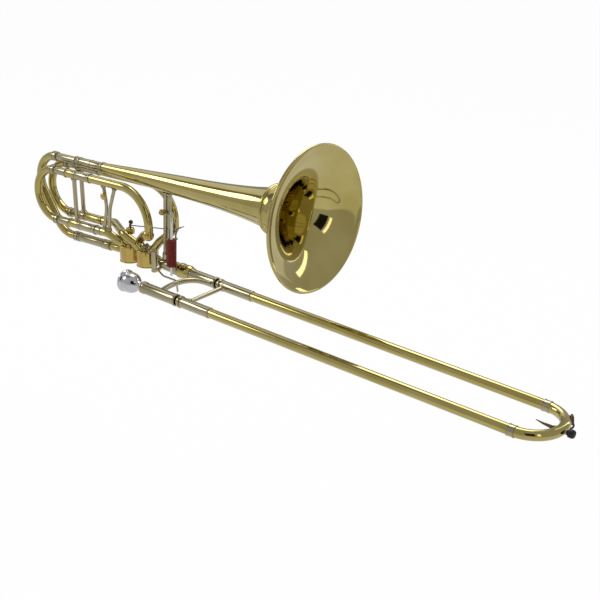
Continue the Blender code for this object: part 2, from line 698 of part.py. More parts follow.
def horn(front, back, steps):
    """Outside and inside profile points of the bell between two distances behind the rim."""
    outside, inside = [], []
    for i in range(steps + 1):
        back_by = front + (back - front) * (i / steps) ** 1.6
        radius = flare_radius(back_by)
        slope = math.atan((radius - flare_radius(back_by + MM)) / MM)
        outside.append((radius, BELL_RIM_X - back_by))
        forward = BELL_WALL * math.sin(slope)
        inside.append((radius - BELL_WALL * math.cos(slope), BELL_RIM_X - back_by + forward))
    return outside, inside[::-1]


def rim_bead():
    """The rolled edge, from its inner front over the outside to its inner back."""
    centre = (BELL_RIM_R - BELL_BEAD_R, BELL_RIM_X - BELL_BEAD_R)
    turns = [math.radians(150 - 50 * i) for i in range(7)]
    return [(centre[0] + BELL_BEAD_R * math.cos(a), centre[1] + BELL_BEAD_R * math.sin(a)) for a in turns]


def bell(hold):
    at = (0, 0, BELL_HEIGHT)
    half = RING_LENGTH / 2
    outside, inside = horn(3.6 * MM, RING_BACK - half - FIT, 8)
    shell = turned(rim_bead() + outside + inside, at, (1, 0, 0), True, BELL_STEPS)
    node("bell_flare", [shell], BRASS_LOOK, hold)
    front, back = BELL_RIM_X - RING_BACK + half, BELL_RIM_X - RING_BACK - half
    top = flare_radius(RING_BACK - half) + RING_HEIGHT
    edge = 1.2 * MM
    bore_back = flare_radius(RING_BACK + half) - BELL_WALL
    bore_front = flare_radius(RING_BACK - half) - BELL_WALL
    collar = [(top - edge, front), (top, front - edge), (top, back + edge), (top - edge, back),
              (bore_back, back), (bore_front, front)]
    node("neck_ring", [turned(collar, at, (1, 0, 0), True, BELL_STEPS)], AMBER_LOOK, hold)
    outside, inside = horn(RING_BACK + half + FIT, BELL_RIM_X - TAIL_X, 6)
    node("bell_stem", [turned(outside + inside, at, (1, 0, 0), True, BELL_STEPS)], BRASS_LOOK, hold)


# ---------------------------------------------------------------- main tuning slide
def slide_leg(start, end, at):
    """A slide's inner leg with the collar that the bow is soldered into, from the bow's end."""
    low, high = start - COLLAR_LENGTH, start + COLLAR_LENGTH
    socket = TUBE_R - 0.4 * MM
    inner = LEG_R - WALL
    profile = [(LEG_R, end), (LEG_R, high), (COLLAR_R, high), (COLLAR_R, low), (socket, low),
               (socket, start + MM), (inner, start + MM), (inner, end)]
    return turned(profile, at, (1, 0, 0), True)


def main_slide(hold):
    bore = LEG_R + FIT + 0.1 * MM
    upper = ring(bore, LEG_SLEEVE_R, MAIN_TOP_SLEEVE_X, TAIL_X - FIT - MAIN_TOP_SLEEVE_X, (0, 0, BELL_HEIGHT))
    node("main_upper_sleeve", [upper], NICKEL_LOOK, hold)
    end = MAIN_BOTTOM_SLEEVE_END_X
    inlet_end = DRUM_X[0] - DRUM_R + DRUM_WALL + 0.2 * MM
    inner = TUBE_R - WALL
    lower = [(TUBE_R, inlet_end), (TUBE_R, end), (LEG_SLEEVE_R, end), (LEG_SLEEVE_R, MAIN_BOTTOM_SLEEVE_X),
             (bore, MAIN_BOTTOM_SLEEVE_X), (bore, end - 2 * MM), (inner, end - 2 * MM), (inner, inlet_end)]
    node("main_lower_sleeve", [turned(lower, (0, 0, 0), (1, 0, 0), True)], NICKEL_LOOK, hold)
    link_start = DRUM_X[0] + DRUM_R - DRUM_WALL - 0.2 * MM
    link_end = DRUM_X[1] - DRUM_R + DRUM_WALL + 0.2 * MM
    node("valve_link_tube", [ring(inner, TUBE_R, link_start, link_end - link_start)], BRASS_LOOK, hold)
    slide = empty("main_tuning_slide", (0, 0, 0), hold)
    bottom = MAIN_BOTTOM_SLEEVE_X - 6 * MM
    start = (MAIN_TOP_LEG_X + 0.5 * MM, 0, BELL_HEIGHT)
    bow = tube(path(start, (MAIN_TOP_CORNER_X, 0, BELL_HEIGHT, MAIN_TOP_BEND),
                    (MAIN_BOTTOM_CORNER_X, 0, 0, MAIN_BOTTOM_BEND), (bottom + 0.5 * MM, 0, 0)))
    top_leg = slide_leg(MAIN_TOP_LEG_X, MAIN_TOP_LEG_X + MAIN_TOP_LEG_LENGTH, (0, 0, BELL_HEIGHT))
    bottom_leg = slide_leg(bottom, bottom + MAIN_BOTTOM_LEG_LENGTH, (0, 0, 0))
    node("main_tuning_crook", [united(bow, top_leg, bottom_leg)], BRASS_LOOK, slide)


# ---------------------------------------------------------------- valves
def valve(hold, name, index, ports):
    """Casing with two slanted ports in its top, a cap, a rotor with its spindle, and a stop arm."""
    x = DRUM_X[index]
    at = (x, 0, 0)
    up = (0, 0, 1)
    inner = DRUM_R - DRUM_WALL
    plate = DRUM_TOP - DRUM_WALL
    hole = SPINDLE_R + FIT
    shell = turned([(hole, DRUM_TOP), (DRUM_R, DRUM_TOP), (DRUM_R, DRUM_BOTTOM), (inner, DRUM_BOTTOM),
                    (inner, plate), (hole, plate)], at, up, True, 20)
    side_bore = rod(TUBE_R + FIT, (x - 2 * DRUM_R, 0, 0), (x + 2 * DRUM_R, 0, 0))
    shell = cut("casing", shell, side_bore)
    for port, toward in ports:
        heading = (Vector(toward) - Vector(port)).normalized()
        drill = rod(BORE_R, Vector(port) - heading * 5 * MM, Vector(port) + heading * 12 * MM)
        shell = cut("casing", shell, drill)
    node(name + "_valve_casing", [shell], AMBER_LOOK, hold)
    floor = -14 * MM - CAP_DEPTH * 0.5
    seat = DRUM_BOTTOM - FIT
    cap = [(0, floor), (hole, floor), (hole, -13 * MM), (inner - FIT, -13 * MM), (inner - FIT, seat),
           (CAP_BEAD_R, seat), (CAP_BEAD_R, seat - CAP_DEPTH), (0, seat - CAP_DEPTH)]
    node(name + "_valve_cap", [turned(cap, at, up, False, 20)], AMBER_LOOK, hold)
    axle = empty(name + "_rotor_axis", at, hold)
    wide = inner - ROTOR_CLEARANCE
    high, low = plate - FIT, -13 * MM + FIT
    tip = SPINDLE_TOP[index]
    profile = [(0, tip), (SPINDLE_R, tip), (SPINDLE_R, high), (wide, high), (wide, low), (SPINDLE_R, low),
               (SPINDLE_R, -14.4 * MM), (0, -14.4 * MM)]
    body = turned(profile, (0, 0, 0), up, False, 20)
    body = cut("rotor", body, rod(BORE_R, (-2 * DRUM_R, 0, 0), (2 * DRUM_R, 0, 0)))
    node(name + "_rotor", [body], BRASS_LOOK, axle)
    plate_z = ARM_HEIGHT[index]
    arm = outline(teardrop(ARM_HUB_R, 1.8 * MM, ARM_LENGTH[index], ARM_REST[index]), ARM_THICKNESS,
                  (0, 0, plate_z), hole)
    node(name + "_stop_arm", [arm], STEEL_LOOK, axle)


# ---------------------------------------------------------------- attachment wraps
def wrap(hold, name, side, top, bottom, bow_x, sleeve_x, ends, brace_x):
    """Two fixed sleeves with their brace, and the tuning slide that is pulled backwards out of them."""
    y = side * WRAP_Y
    radius = (top - bottom) / 2
    inner = LEG_R + FIT + 0.1 * MM
    sleeves = [ring(inner, LEG_SLEEVE_R, sleeve_x, end - sleeve_x, (0, y, z))
               for z, end in zip((top, bottom), ends)]
    lift = LEG_SLEEVE_R - 0.9 * MM
    brace = rod(SLIDE_BRACE_R, (brace_x, y, bottom + lift), (brace_x, y, top - lift), 10)
    node(name + "_slide_sleeves", [united(*sleeves, brace)], NICKEL_LOOK, hold)
    slide = empty(name + "_tuning_slide", (0, 0, 0), hold)
    start = bow_x + 0.5 * MM
    turn, bend_r = bow_x - radius, radius - FIT
    bow = tube(path((start, y, top), (turn, y, top, bend_r), (turn, y, bottom, bend_r), (start, y, bottom)))
    legs = [slide_leg(bow_x, sleeve_x + LEG_OVERLAP, (0, y, z)) for z in (top, bottom)]
    node(name + "_tuning_crook", [united(bow, *legs)], BRASS_LOOK, slide)
    return y


def past(turn, port):
    """A point beyond the port on the line from the last turn."""
    return port + (port - turn).normalized() * PAST_PORT


def near_wrap(hold):
    ends = (NEAR_TOP_SLEEVE_END_X, NEAR_BOTTOM_SLEEVE_END_X)
    y = wrap(hold, "near", -1, NEAR_TOP_Z, NEAR_BOTTOM_Z, NEAR_BOW_X, NEAR_SLEEVE_X, ends, NEAR_SLIDE_BRACE_X)
    front = path((ends[0] + FIT, y, NEAR_TOP_Z), (NEAR_FRONT_X, y, NEAR_TOP_Z, NEAR_FRONT_BEND),
                 (NEAR_FRONT_X, y, NEAR_FRONT_FOOT_Z, NEAR_FRONT_FOOT_BEND),
                 (*NEAR_FRONT_TURN, NEAR_FRONT_TURN_BEND), past(NEAR_FRONT_TURN, NEAR_FRONT_PORT))
    rear = path((ends[1] + FIT, y, NEAR_BOTTOM_Z), (NEAR_REAR_X, y, NEAR_BOTTOM_Z, NEAR_REAR_BEND),
                (*NEAR_REAR_TURN, NEAR_REAR_TURN_BEND), past(NEAR_REAR_TURN, NEAR_REAR_PORT))
    node("near_front_tube", [tube(front, floor=DRUM_TOP + SEAT)], BRASS_LOOK, hold)
    node("near_rear_tube", [tube(rear, floor=DRUM_TOP + SEAT)], BRASS_LOOK, hold)


def far_wrap(hold):
    ends = (FAR_SLEEVE_END_X, FAR_SLEEVE_END_X)
    y = wrap(hold, "far", 1, FAR_TOP_Z, FAR_BOTTOM_Z, FAR_BOW_X, FAR_SLEEVE_X, ends, FAR_SLIDE_BRACE_X)
    front = path((ends[0] + FIT, y, FAR_TOP_Z), (FAR_FRONT_X, y, FAR_TOP_Z, FAR_FRONT_BEND),
                 (FAR_FRONT_X, y, FAR_FRONT_FOOT_Z, FAR_FRONT_FOOT_BEND),
                 (*FAR_FRONT_TURN, FAR_FRONT_TURN_BEND), past(FAR_FRONT_TURN, FAR_FRONT_PORT))
    bends = [(*stop, bend) for stop, bend in zip(FAR_REAR_STOPS, FAR_REAR_BENDS)]
    rear = path((ends[1] + FIT, y, FAR_BOTTOM_Z), *bends, (*FAR_REAR_TURN, FAR_REAR_TURN_BEND),
                past(FAR_REAR_TURN, FAR_REAR_PORT))
    node("far_front_tube", [tube(front, floor=DRUM_TOP + SEAT)], BRASS_LOOK, hold)
    node("far_rear_tube", [tube(rear, floor=DRUM_TOP + SEAT)], BRASS_LOOK, hold)


def wrap_braces(hold):
    """Two leaning posts between the legs of the near wrap, with a thumb screw on one."""
    for name, foot, head in zip(("rear", "front"), POST_FOOT_X, POST_HEAD_X):
        lean = abs(head - foot) / (NEAR_TOP_Z - NEAR_BOTTOM_Z)
        lift = TUBE_R + 0.4 * MM + POST_R * lean
        post = rod(POST_R, (foot, -WRAP_Y, NEAR_BOTTOM_Z + lift), (head, -WRAP_Y, NEAR_TOP_Z - lift), 10)
        node("mid_brace_" + name, [post], NICKEL_LOOK, hold)
    screw_z = NEAR_TOP_Z - POST_SCREW_DROP
    share = (screw_z - NEAR_BOTTOM_Z) / (NEAR_TOP_Z - NEAR_BOTTOM_Z)
    post_x = POST_FOOT_X[0] + (POST_HEAD_X[0] - POST_FOOT_X[0]) * share
    profile = [(0, POST_SCREW_LENGTH), (POST_SCREW_R, POST_SCREW_LENGTH), (POST_SCREW_R, 0), (0, 0)]
    at = (post_x, -WRAP_Y - POST_R - FIT - POST_SCREW_LENGTH, screw_z)
    node("mid_brace_screw", [turned(profile, at, (0, 1, 0), False, 10)], AMBER_LOOK, hold, at)


# ---------------------------------------------------------------- hand brace and rest
def hand_brace():
    foot_z = HAND_BRACE_FOOT
    posts = []
    for x, wide in zip(HAND_BRACE_X, (FOOT_R, HAND_BRACE_R + 0.4 * MM)):
        shoulder = foot_z + FOOT_HEIGHT
        profile = [(0, HAND_BRACE_TOP), (HAND_BRACE_R, HAND_BRACE_TOP), (HAND_BRACE_R, shoulder + 2 * MM),
                   (wide, shoulder), (wide, foot_z), (0, foot_z)]
        posts.append(turned(profile, (x, 0, 0), (0, 0, 1), False, 12))
    span = HAND_BRACE_X[1] - HAND_BRACE_X[0]
    foot = block((span, 5 * MM, 3 * MM), (span / 2, 0, foot_z + 1.5 * MM))
    node("hand_brace", [united(*posts, foot)], NICKEL_LOOK)


def hand_rest():
    """Clamp on the brace, thumb screw, rod and leather-covered grip."""
    x, y = GRIP_XY
    low = CLAMP_Z - CLAMP_LENGTH / 2
    collar = ring(HAND_BRACE_R + FIT, CLAMP_R, low, CLAMP_LENGTH, (0, 0, 0), (0, 0, 1), 12)
    start = Vector((2.5 * MM, -5.2 * MM, CLAMP_Z))
    end = Vector((x, y, CLAMP_Z + EYE_LIFT))
    eye_low = low + EYE_LIFT
    strip = rod(1.6 * MM, start, end, 10)
    eye = rod(4.2 * MM, (x, y, eye_low), (x, y, eye_low + CLAMP_LENGTH), 12)
    bracket = united(collar, strip, eye)
    bore = rod(GRIP_ROD_R + FIT, (x, y, eye_low - 5 * MM), (x, y, eye_low + 20 * MM), 10)
    node("rest_clamp", [cut("clamp", bracket, bore)], NICKEL_LOOK)
    near, out = CLAMP_R + FIT, CLAMP_R + 3.6 * MM
    screw = [(0, out), (CLAMP_SCREW_R, out), (CLAMP_SCREW_R, near), (0, near)]
    at = (0, 0, CLAMP_Z)
    node("rest_clamp_screw", [turned(screw, at, (-0.8, -0.6, 0), False, 12)], AMBER_LOOK, None, at)
    stick = rod(GRIP_ROD_R, (x, y, GRIP_ROD_BOTTOM), (x, y, eye_low + CLAMP_LENGTH + 3 * MM), 10)
    node("rest_rod", [stick], SILVER_LOOK, None, (x, y, 0))
    edge = 1.4 * MM
    hole = GRIP_ROD_R + FIT
    grip = [(hole, GRIP_TOP), (GRIP_R - edge, GRIP_TOP), (GRIP_R, GRIP_TOP - edge),
            (GRIP_R, GRIP_BOTTOM + edge), (GRIP_R - edge, GRIP_BOTTOM), (hole, GRIP_BOTTOM)]
    node("hand_rest_grip", [turned(grip, (x, y, 0), (0, 0, 1), True)], RED_LOOK, None, (x, y, 0))


# ---------------------------------------------------------------- levers and links
def thumb_lever():
    """Paddle and stem on a pin that a bracket on the hand brace carries."""
    pivot = THUMB_PIVOT
    x = HAND_BRACE_X[1]
    collar = ring(HAND_BRACE_R + FIT, 5.6 * MM, pivot.z - 3 * MM, 6 * MM, (x, 0, 0), (0, 0, 1), 12)
    strip = rod(1.8 * MM, (x + 4.8 * MM, 1.6 * MM, pivot.z), (pivot.x, pivot.y - 5 * MM, pivot.z), 8)
    ear = block((5 * MM, 2 * MM, 6 * MM), pivot + Vector((0, -5 * MM, 0)))
    pin = rod(THUMB_PIN_R, pivot - Vector((0, 5 * MM, 0)), pivot + Vector((0, 4.6 * MM, 0)), 8)
    node("thumb_bracket", [united(collar, strip, ear, pin)], NICKEL_LOOK)
    hinge = empty("thumb_lever_axis", pivot)
    knuckle = rod(2.6 * MM, (0, -3.4 * MM, 0), (0, 3.4 * MM, 0), 12)
    stem = wire(path(*THUMB_STEM), 1.4 * MM)
    tilt = Vector((-0.5, 0, 0.866))
    middle = Vector((13 * MM, 0, 25 * MM))
    paddle = rod(6.5 * MM, middle - tilt * MM, middle + tilt * MM, 14)
    lever = united(knuckle, stem, paddle)
    bore = rod(THUMB_PIN_R + FIT, (0, -8 * MM, 0), (0, 8 * MM, 0), 8)
    node("thumb_lever", [cut("lever", lever, bore)], STEEL_LOOK, hinge)


def finger_lever():
    """A barrel on an upright pin, with a long finger arm below and a short link arm on top."""
    pivot = FINGER_PIVOT
    half = FINGER_BARREL_LENGTH / 2
    low = pivot.z - half - FIT
    plate = outline(teardrop(5 * MM, 3.5 * MM, 12.5 * MM, 90), 2.4 * MM, (pivot.x, pivot.y, low - 1.2 * MM))
    post_top = -TUBE_R - FIT
    base = low - 1.2 * MM
    post_y = pivot.y + 12.5 * MM
    post = rod(2.4 * MM, (pivot.x, post_y, base), (pivot.x, post_y, post_top), 10)
    pin = rod(FINGER_PIN_R, (pivot.x, pivot.y, base), (pivot.x, pivot.y, pivot.z + half + 3.4 * MM), 10)
    node("finger_bracket", [united(plate, post, pin)], BRASS_LOOK)
    hinge = empty("finger_lever_axis", pivot)
    barrel_shape = rod(FINGER_BARREL_R, (0, 0, -half), (0, 0, half), 14)
    plan = teardrop(6 * MM, 2 * MM, FINGER_ARM_LENGTH, FINGER_ARM_REST)
    link_arm = outline(plan, 2.4 * MM, (0, 0, half - 0.2 * MM))
    arm = wire(path(*FINGER_ARM), FINGER_ARM_R)
    lever = united(barrel_shape, link_arm, arm)
    bore = rod(FINGER_PIN_R + FIT, (0, 0, -half - 5 * MM), (0, 0, half + 5 * MM), 10)
    node("finger_lever", [cut("lever", lever, bore)], NICKEL_LOOK, hinge)


def link(name, start, end):
    """A thin rod with a ball at each end."""
    shape = united(rod(ROD_R, start, end, 8), ball(LINK_BALL_R, start), ball(LINK_BALL_R, end))
    node(name, [shape], STEEL_LOOK, None, start)


def links(tilt_frame):
    bpy.context.view_layer.update()
    lift = ARM_THICKNESS / 2 + LINK_LIFT + LINK_BALL_R
    ends = []
    for index in (0, 1):
        heading = math.radians(ARM_REST[index])
        reach = ARM_LENGTH[index]
        x = DRUM_X[index] + reach * math.cos(heading)
        local = Vector((x, reach * math.sin(heading), ARM_HEIGHT[index] + lift))
        ends.append(tilt_frame.matrix_world @ local)
    link("thumb_link", ends[0], THUMB_PIVOT + THUMB_LINK)
    heading = math.radians(FINGER_ARM_REST)
    reach = Vector((FINGER_ARM_LENGTH * math.cos(heading), FINGER_ARM_LENGTH * math.sin(heading),
                    FINGER_BARREL_LENGTH / 2 + 1 * MM + FIT + LINK_BALL_R))
    link("finger_link", ends[1], FINGER_PIVOT + reach)


# ---------------------------------------------------------------- build
clear_scene()
PARTS = new_collection("bass_trombone")
CUTTERS = new_collection("cutters")

outer_slide()
inner_slide()
section = empty("bell_section", (BELL_PIVOT_X, 0, 0), None, -BELL_TILT)
neck_joint(section)
bell(section)
main_slide(section)
valve(section, "rear", 0, ((NEAR_FRONT_PORT, NEAR_FRONT_TURN), (NEAR_REAR_PORT, NEAR_REAR_TURN)))
valve(section, "front", 1, ((FAR_FRONT_PORT, FAR_FRONT_TURN), (FAR_REAR_PORT, FAR_REAR_TURN)))
near_wrap(section)
far_wrap(section)
wrap_braces(section)
hand_brace()
hand_rest()
thumb_lever()
finger_lever()
links(section)
bpy.context.view_layer.update()
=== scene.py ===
# %% [markdown]
# A bass trombone is mostly tube. Every piece here is either turned about an axis, like a
# lathe job, or a tube bent along a route. Both are the same surface: a circle whose centre
# moves along a line while its radius changes. One numpy function draws that surface, and
# the rest of the lesson feeds it with profiles and routes in millimetres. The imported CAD
# model is the fixed frame: each fine piece stands for the plain one of the same name.

import json
import math

import bmesh
import bpy
import numpy as np
from mathutils import Matrix, Vector


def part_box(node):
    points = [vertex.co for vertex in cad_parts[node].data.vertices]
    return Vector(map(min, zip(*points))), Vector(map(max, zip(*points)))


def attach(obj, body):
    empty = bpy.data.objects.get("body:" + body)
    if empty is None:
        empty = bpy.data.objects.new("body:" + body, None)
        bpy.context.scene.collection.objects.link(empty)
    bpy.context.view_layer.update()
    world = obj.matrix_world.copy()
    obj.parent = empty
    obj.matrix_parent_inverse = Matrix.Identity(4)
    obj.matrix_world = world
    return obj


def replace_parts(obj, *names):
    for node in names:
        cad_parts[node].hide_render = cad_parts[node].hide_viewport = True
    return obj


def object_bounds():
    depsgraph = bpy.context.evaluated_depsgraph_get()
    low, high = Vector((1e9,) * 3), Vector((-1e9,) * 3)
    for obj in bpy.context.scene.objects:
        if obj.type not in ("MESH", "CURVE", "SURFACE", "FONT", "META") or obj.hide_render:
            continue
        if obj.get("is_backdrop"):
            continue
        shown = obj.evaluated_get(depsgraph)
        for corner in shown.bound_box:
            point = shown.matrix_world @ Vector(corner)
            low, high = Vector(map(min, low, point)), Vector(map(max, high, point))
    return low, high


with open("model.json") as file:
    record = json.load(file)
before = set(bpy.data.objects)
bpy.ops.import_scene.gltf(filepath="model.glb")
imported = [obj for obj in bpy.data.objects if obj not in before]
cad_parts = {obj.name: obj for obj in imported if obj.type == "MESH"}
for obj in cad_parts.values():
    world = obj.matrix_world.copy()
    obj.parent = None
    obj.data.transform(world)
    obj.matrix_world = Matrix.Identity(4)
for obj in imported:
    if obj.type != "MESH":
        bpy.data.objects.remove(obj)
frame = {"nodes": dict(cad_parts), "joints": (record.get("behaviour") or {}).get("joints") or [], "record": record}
cad_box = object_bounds()
MM = 0.001
print("CAD box", [[round(v, 4) for v in corner] for corner in cad_box])

# %% [markdown]
# The bell section is tipped up a few degrees from the hand slide and turns about a point
# on the slide's axis. Its pieces are worked out level and then tipped by this rotation.
# The valve rotors turn about the tipped upright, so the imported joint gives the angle.

# %% Two places to work in
ROTOR_AXIS = next(joint["axis"] for joint in frame["joints"] if joint["name"] == "rear_rotor")
TILT = math.atan2(-ROTOR_AXIS[0], ROTOR_AXIS[2])
PIVOT_X = -89.0


def level(points):
    """Hand slide: the points stay where they are."""
    return points


def tipped(points):
    """Bell section: x and z turn by the tilt about the pivot, and y stays."""
    turned = points.copy()
    turned[..., 0] = PIVOT_X + points[..., 0] * math.cos(TILT) - points[..., 2] * math.sin(TILT)
    turned[..., 2] = points[..., 0] * math.sin(TILT) + points[..., 2] * math.cos(TILT)
    return turned


print("bell section tipped up by", round(math.degrees(TILT), 2), "degrees")

# %% [markdown]
# Materials are small node trees. One helper adds a node with its settings and links, so a
# material reads as a list of what it is made of. Colours are written in sRGB, as a paint
# chart gives them, and turned to the linear light that the renderer works in.

# %% Colour and node helpers
def linear(code):
    """A hex colour as linear RGBA: each channel c becomes c/12.92, or ((c+0.055)/1.055)^2.4."""
    channels = [int(code[i:i + 2], 16) / 255 for i in (1, 3, 5)]
    return (*(c / 12.92 if c <= 0.04045 else ((c + 0.055) / 1.055) ** 2.4 for c in channels), 1.0)


def grey(shade):
    """A linear grey as RGBA: the shade three times, then 1."""
    return (shade, shade, shade, 1.0)


def add(owner, kind, settings=None, links=None, stops=()):
    """Adds a node: settings go to its properties or sockets, and links join sockets to it.

    Stops of (share, colour) in rising order fill the ramp of a node that has one.
    """
    node = owner.node_tree.nodes.new(kind)
    for key, value in (settings or {}).items():
        if isinstance(key, str) and hasattr(node, key):
            setattr(node, key, value)
        else:
            node.inputs[key].default_value = value
    for key, source in (links or {}).items():
        owner.node_tree.links.new(source, node.inputs[key])
    for index, (share, colour) in enumerate(stops):
        elements = node.color_ramp.elements
        element = elements[index] if index < len(elements) else elements.new(share)
        element.position = share
        element.color = colour
    return node


def wire_up(owner, source, socket, node="Principled BSDF"):
    """Joins a source to a socket of a node that every new material or world starts with."""
    owner.node_tree.links.new(source, owner.node_tree.nodes[node].inputs[socket])


def blank(name, settings=None):
    """A new material with settings for its Principled shader, and its Object coordinates."""
    material = bpy.data.materials.new(name)
    material.use_nodes = True
    for key, value in (settings or {}).items():
        material.node_tree.nodes["Principled BSDF"].inputs[key].default_value = value
    return material, add(material, "ShaderNodeTexCoord").outputs["Object"]


print("half grey in sRGB is", round(linear("#808080")[0], 3), "in linear light")

# %% [markdown]
# Lacquered brass is a mirror seen through a clear varnish: the metal gives the colour, the
# varnish a second, white gloss. Hand polishing leaves faint scratches and the varnish a
# slight unevenness, so roughness and tint drift over a few centimetres. The other metals are
# the same job in other alloys, polished more or less. The scratches are drawn coarser than
# real ones, which are too fine to show.

# %% The metals
TINT_MM, DRIFT_MM, SCRATCH_MM = 70.0, 45.0, 3.2
SCRATCH_DEPTH_MM, SCRATCH_STRENGTH = 0.2, 0.004
COAT_ROUGHNESS = 0.04


def polished_metal(name, light, dark, rough, coat):
    """Tint and roughness drift over centimetres, and fine scratches bump the surface."""
    material, place = blank(name, {"Metallic": 1.0, "Coat Weight": coat, "Coat Roughness": COAT_ROUGHNESS})
    cloud, patch, grit = [
        add(material, "ShaderNodeTexNoise", {"Scale": 1 / (size * MM), "Detail": detail}, {"Vector": place})
        for size, detail in ((TINT_MM, 2.0), (DRIFT_MM, 3.0), (SCRATCH_MM, 2.0))
    ]
    tint = add(material, "ShaderNodeValToRGB", None, {"Fac": cloud.outputs["Fac"]},
               [(0.3, linear(dark)), (0.7, linear(light))])
    wire_up(material, tint.outputs["Color"], "Base Color")
    spread = add(material, "ShaderNodeMapRange", {"To Min": rough * 0.7, "To Max": rough * 1.4},
                 {"Value": patch.outputs["Fac"]})
    wire_up(material, spread.outputs["Result"], "Roughness")
    bump = add(material, "ShaderNodeBump", {"Strength": SCRATCH_STRENGTH, "Distance": SCRATCH_DEPTH_MM * MM},
               {"Height": grit.outputs["Fac"]})
    wire_up(material, bump.outputs["Normal"], "Normal")
    return material


LOOKS = {
    # Yellow brass under clear lacquer: a pale gold mirror with a white gloss over it.
    "lacquered_brass": polished_metal("lacquered_yellow_brass", "#CCBD78", "#BCAB5E", 0.07, 0.6),
    # Red brass has more copper: a deeper amber, polished less sharply.
    "amber_brass": polished_metal("lacquered_red_brass", "#D6BC6E", "#C8AB5A", 0.14, 0.4),
    # Nickel silver, buffed and lacquered: a warm grey mirror, a little blurred.
    "nickel_silver": polished_metal("lacquered_nickel_silver", "#C2B998", "#B0A785", 0.12, 0.4),
    # Silver plate, polished bare: the palest and sharpest mirror of all.
    "silver_plate": polished_metal("silver_plate", "#E4E4E6", "#D6D6DA", 0.05, 0.0),
    # Nickel plate over brushed steel: a darker grey, and reflections without edges.
    "lever_steel": polished_metal("satin_nickel_plate", "#9A968C", "#86827A", 0.16, 0.0),
    # Bronze that handling has tarnished: dark brown and dull.
    "dark_bronze": polished_metal("tarnished_bronze", "#75664C", "#54463A", 0.30, 0.0),
}
print(len(LOOKS), "metals")

# %% [markdown]
# The hand rest is wrapped in dyed cowhide: a fine pebbled grain, about a millimetre from
# bump to bump, that catches a soft sheen on its high spots. The bumper is black rubber with
# a fine matt bloom, and the water key's pad is cork, brown with dark pores. Cells make the
# leather's pebbles, and noise is enough for the other two.

# %% Leather, rubber and cork
PEBBLE_MM = 1.3


def burgundy_leather():
    """Voronoi cells make the pebbles: their edges are darker, and sunk."""
    material, place = blank("burgundy_cowhide", {"Roughness": 0.5, "Specular IOR Level": 0.3})
    cells = add(material, "ShaderNodeTexVoronoi", {"Scale": 1 / (PEBBLE_MM * MM)}, {"Vector": place})
    tone = add(material, "ShaderNodeValToRGB", None, {"Fac": cells.outputs["Distance"]},
               [(0.0, linear("#861B0E")), (0.8, linear("#500E06"))])
    wire_up(material, tone.outputs["Color"], "Base Color")
    bump = add(material, "ShaderNodeBump", {"invert": True, "Strength": 0.35, "Distance": 0.3 * MM},
               {"Height": cells.outputs["Distance"]})
    wire_up(material, bump.outputs["Normal"], "Normal")
    return material


def soft_solid(name, light, dark, grain_mm, rough, depth_mm):
    """Rubber or cork: two tones in a noise of the grain's size, which also bumps it."""
    material, place = blank(name, {"Roughness": rough})
    grain = add(material, "ShaderNodeTexNoise", {"Scale": 1 / (grain_mm * MM), "Detail": 4.0},
                {"Vector": place})
    tone = add(material, "ShaderNodeValToRGB", None, {"Fac": grain.outputs["Fac"]},
               [(0.35, linear(dark)), (0.65, linear(light))])
    wire_up(material, tone.outputs["Color"], "Base Color")
    bump = add(material, "ShaderNodeBump", {"Strength": 0.3, "Distance": depth_mm * MM},
               {"Height": grain.outputs["Fac"]})
    wire_up(material, bump.outputs["Normal"], "Normal")
    return material


LOOKS["red_leather"] = burgundy_leather()
# Rubber swallows light, so it stays near black with a broad, faint sheen.
LOOKS["black_rubber"] = soft_solid("black_rubber", "#0C0C0D", "#080809", 0.8, 0.5, 0.1)
# Cork is dry and has no gloss at all.
LOOKS["cork"] = soft_solid("natural_cork", "#A97A4C", "#7A5231", 1.5, 0.8, 0.2)

NODE_BODY = {node: body for body, nodes in frame["record"]["behaviour"]["bodies"].items() for node in nodes}
NODE_SLOT = {part["node"]: part["material_slot"] for part in frame["record"]["subparts"]}
for node, obj in frame["nodes"].items():
    obj.data.materials.clear()
    obj.data.materials.append(LOOKS[NODE_SLOT[node]])
print(len(frame["nodes"]), "CAD nodes take a finish from", len(LOOKS))

# %% [markdown]
# The one surface behind it all. Station i is a circle of radius r_i about the centre c_i,
# in the plane of two unit vectors across and up. Going out along the outside and back along
# the bore makes a hollow wall; a radius of zero closes an end to a point.

# %% One surface for everything
SIDES = 48


def skin(centres, across, up, radii, sides, closed):
    """Point (i, j) = c_i + r_i (across_i cos a_j + up_i sin a_j), with a_j = 2 pi j / sides.

    Each face joins stations i and i+1 and angles j and j+1, wound to face outwards.
    """
    angle = np.arange(sides) * 2 * math.pi / sides
    circle = across[:, None] * np.cos(angle)[:, None] + up[:, None] * np.sin(angle)[:, None]
    points = centres[:, None] + radii[:, None, None] * circle
    count = len(centres)
    i, j = np.meshgrid(np.arange(count if closed else count - 1), np.arange(sides), indexing="ij")
    after, beside = (i + 1) % count, (j + 1) % sides
    faces = np.stack([i * sides + j, i * sides + beside, after * sides + beside, after * sides + j], axis=-1)
    return points.reshape(-1, 3), faces.reshape(-1, 4)


print("a circle has", SIDES, "sides unless a piece asks for more")

# %% [markdown]
# Every surface becomes an object in the same way. Points that meet are merged, hard edges
# stay sharp, and the piece takes the finish and the moving body of the CAD node that it
# belongs to, so it follows that node's joint.

# %% From surface to object
MERGE = 1e-7


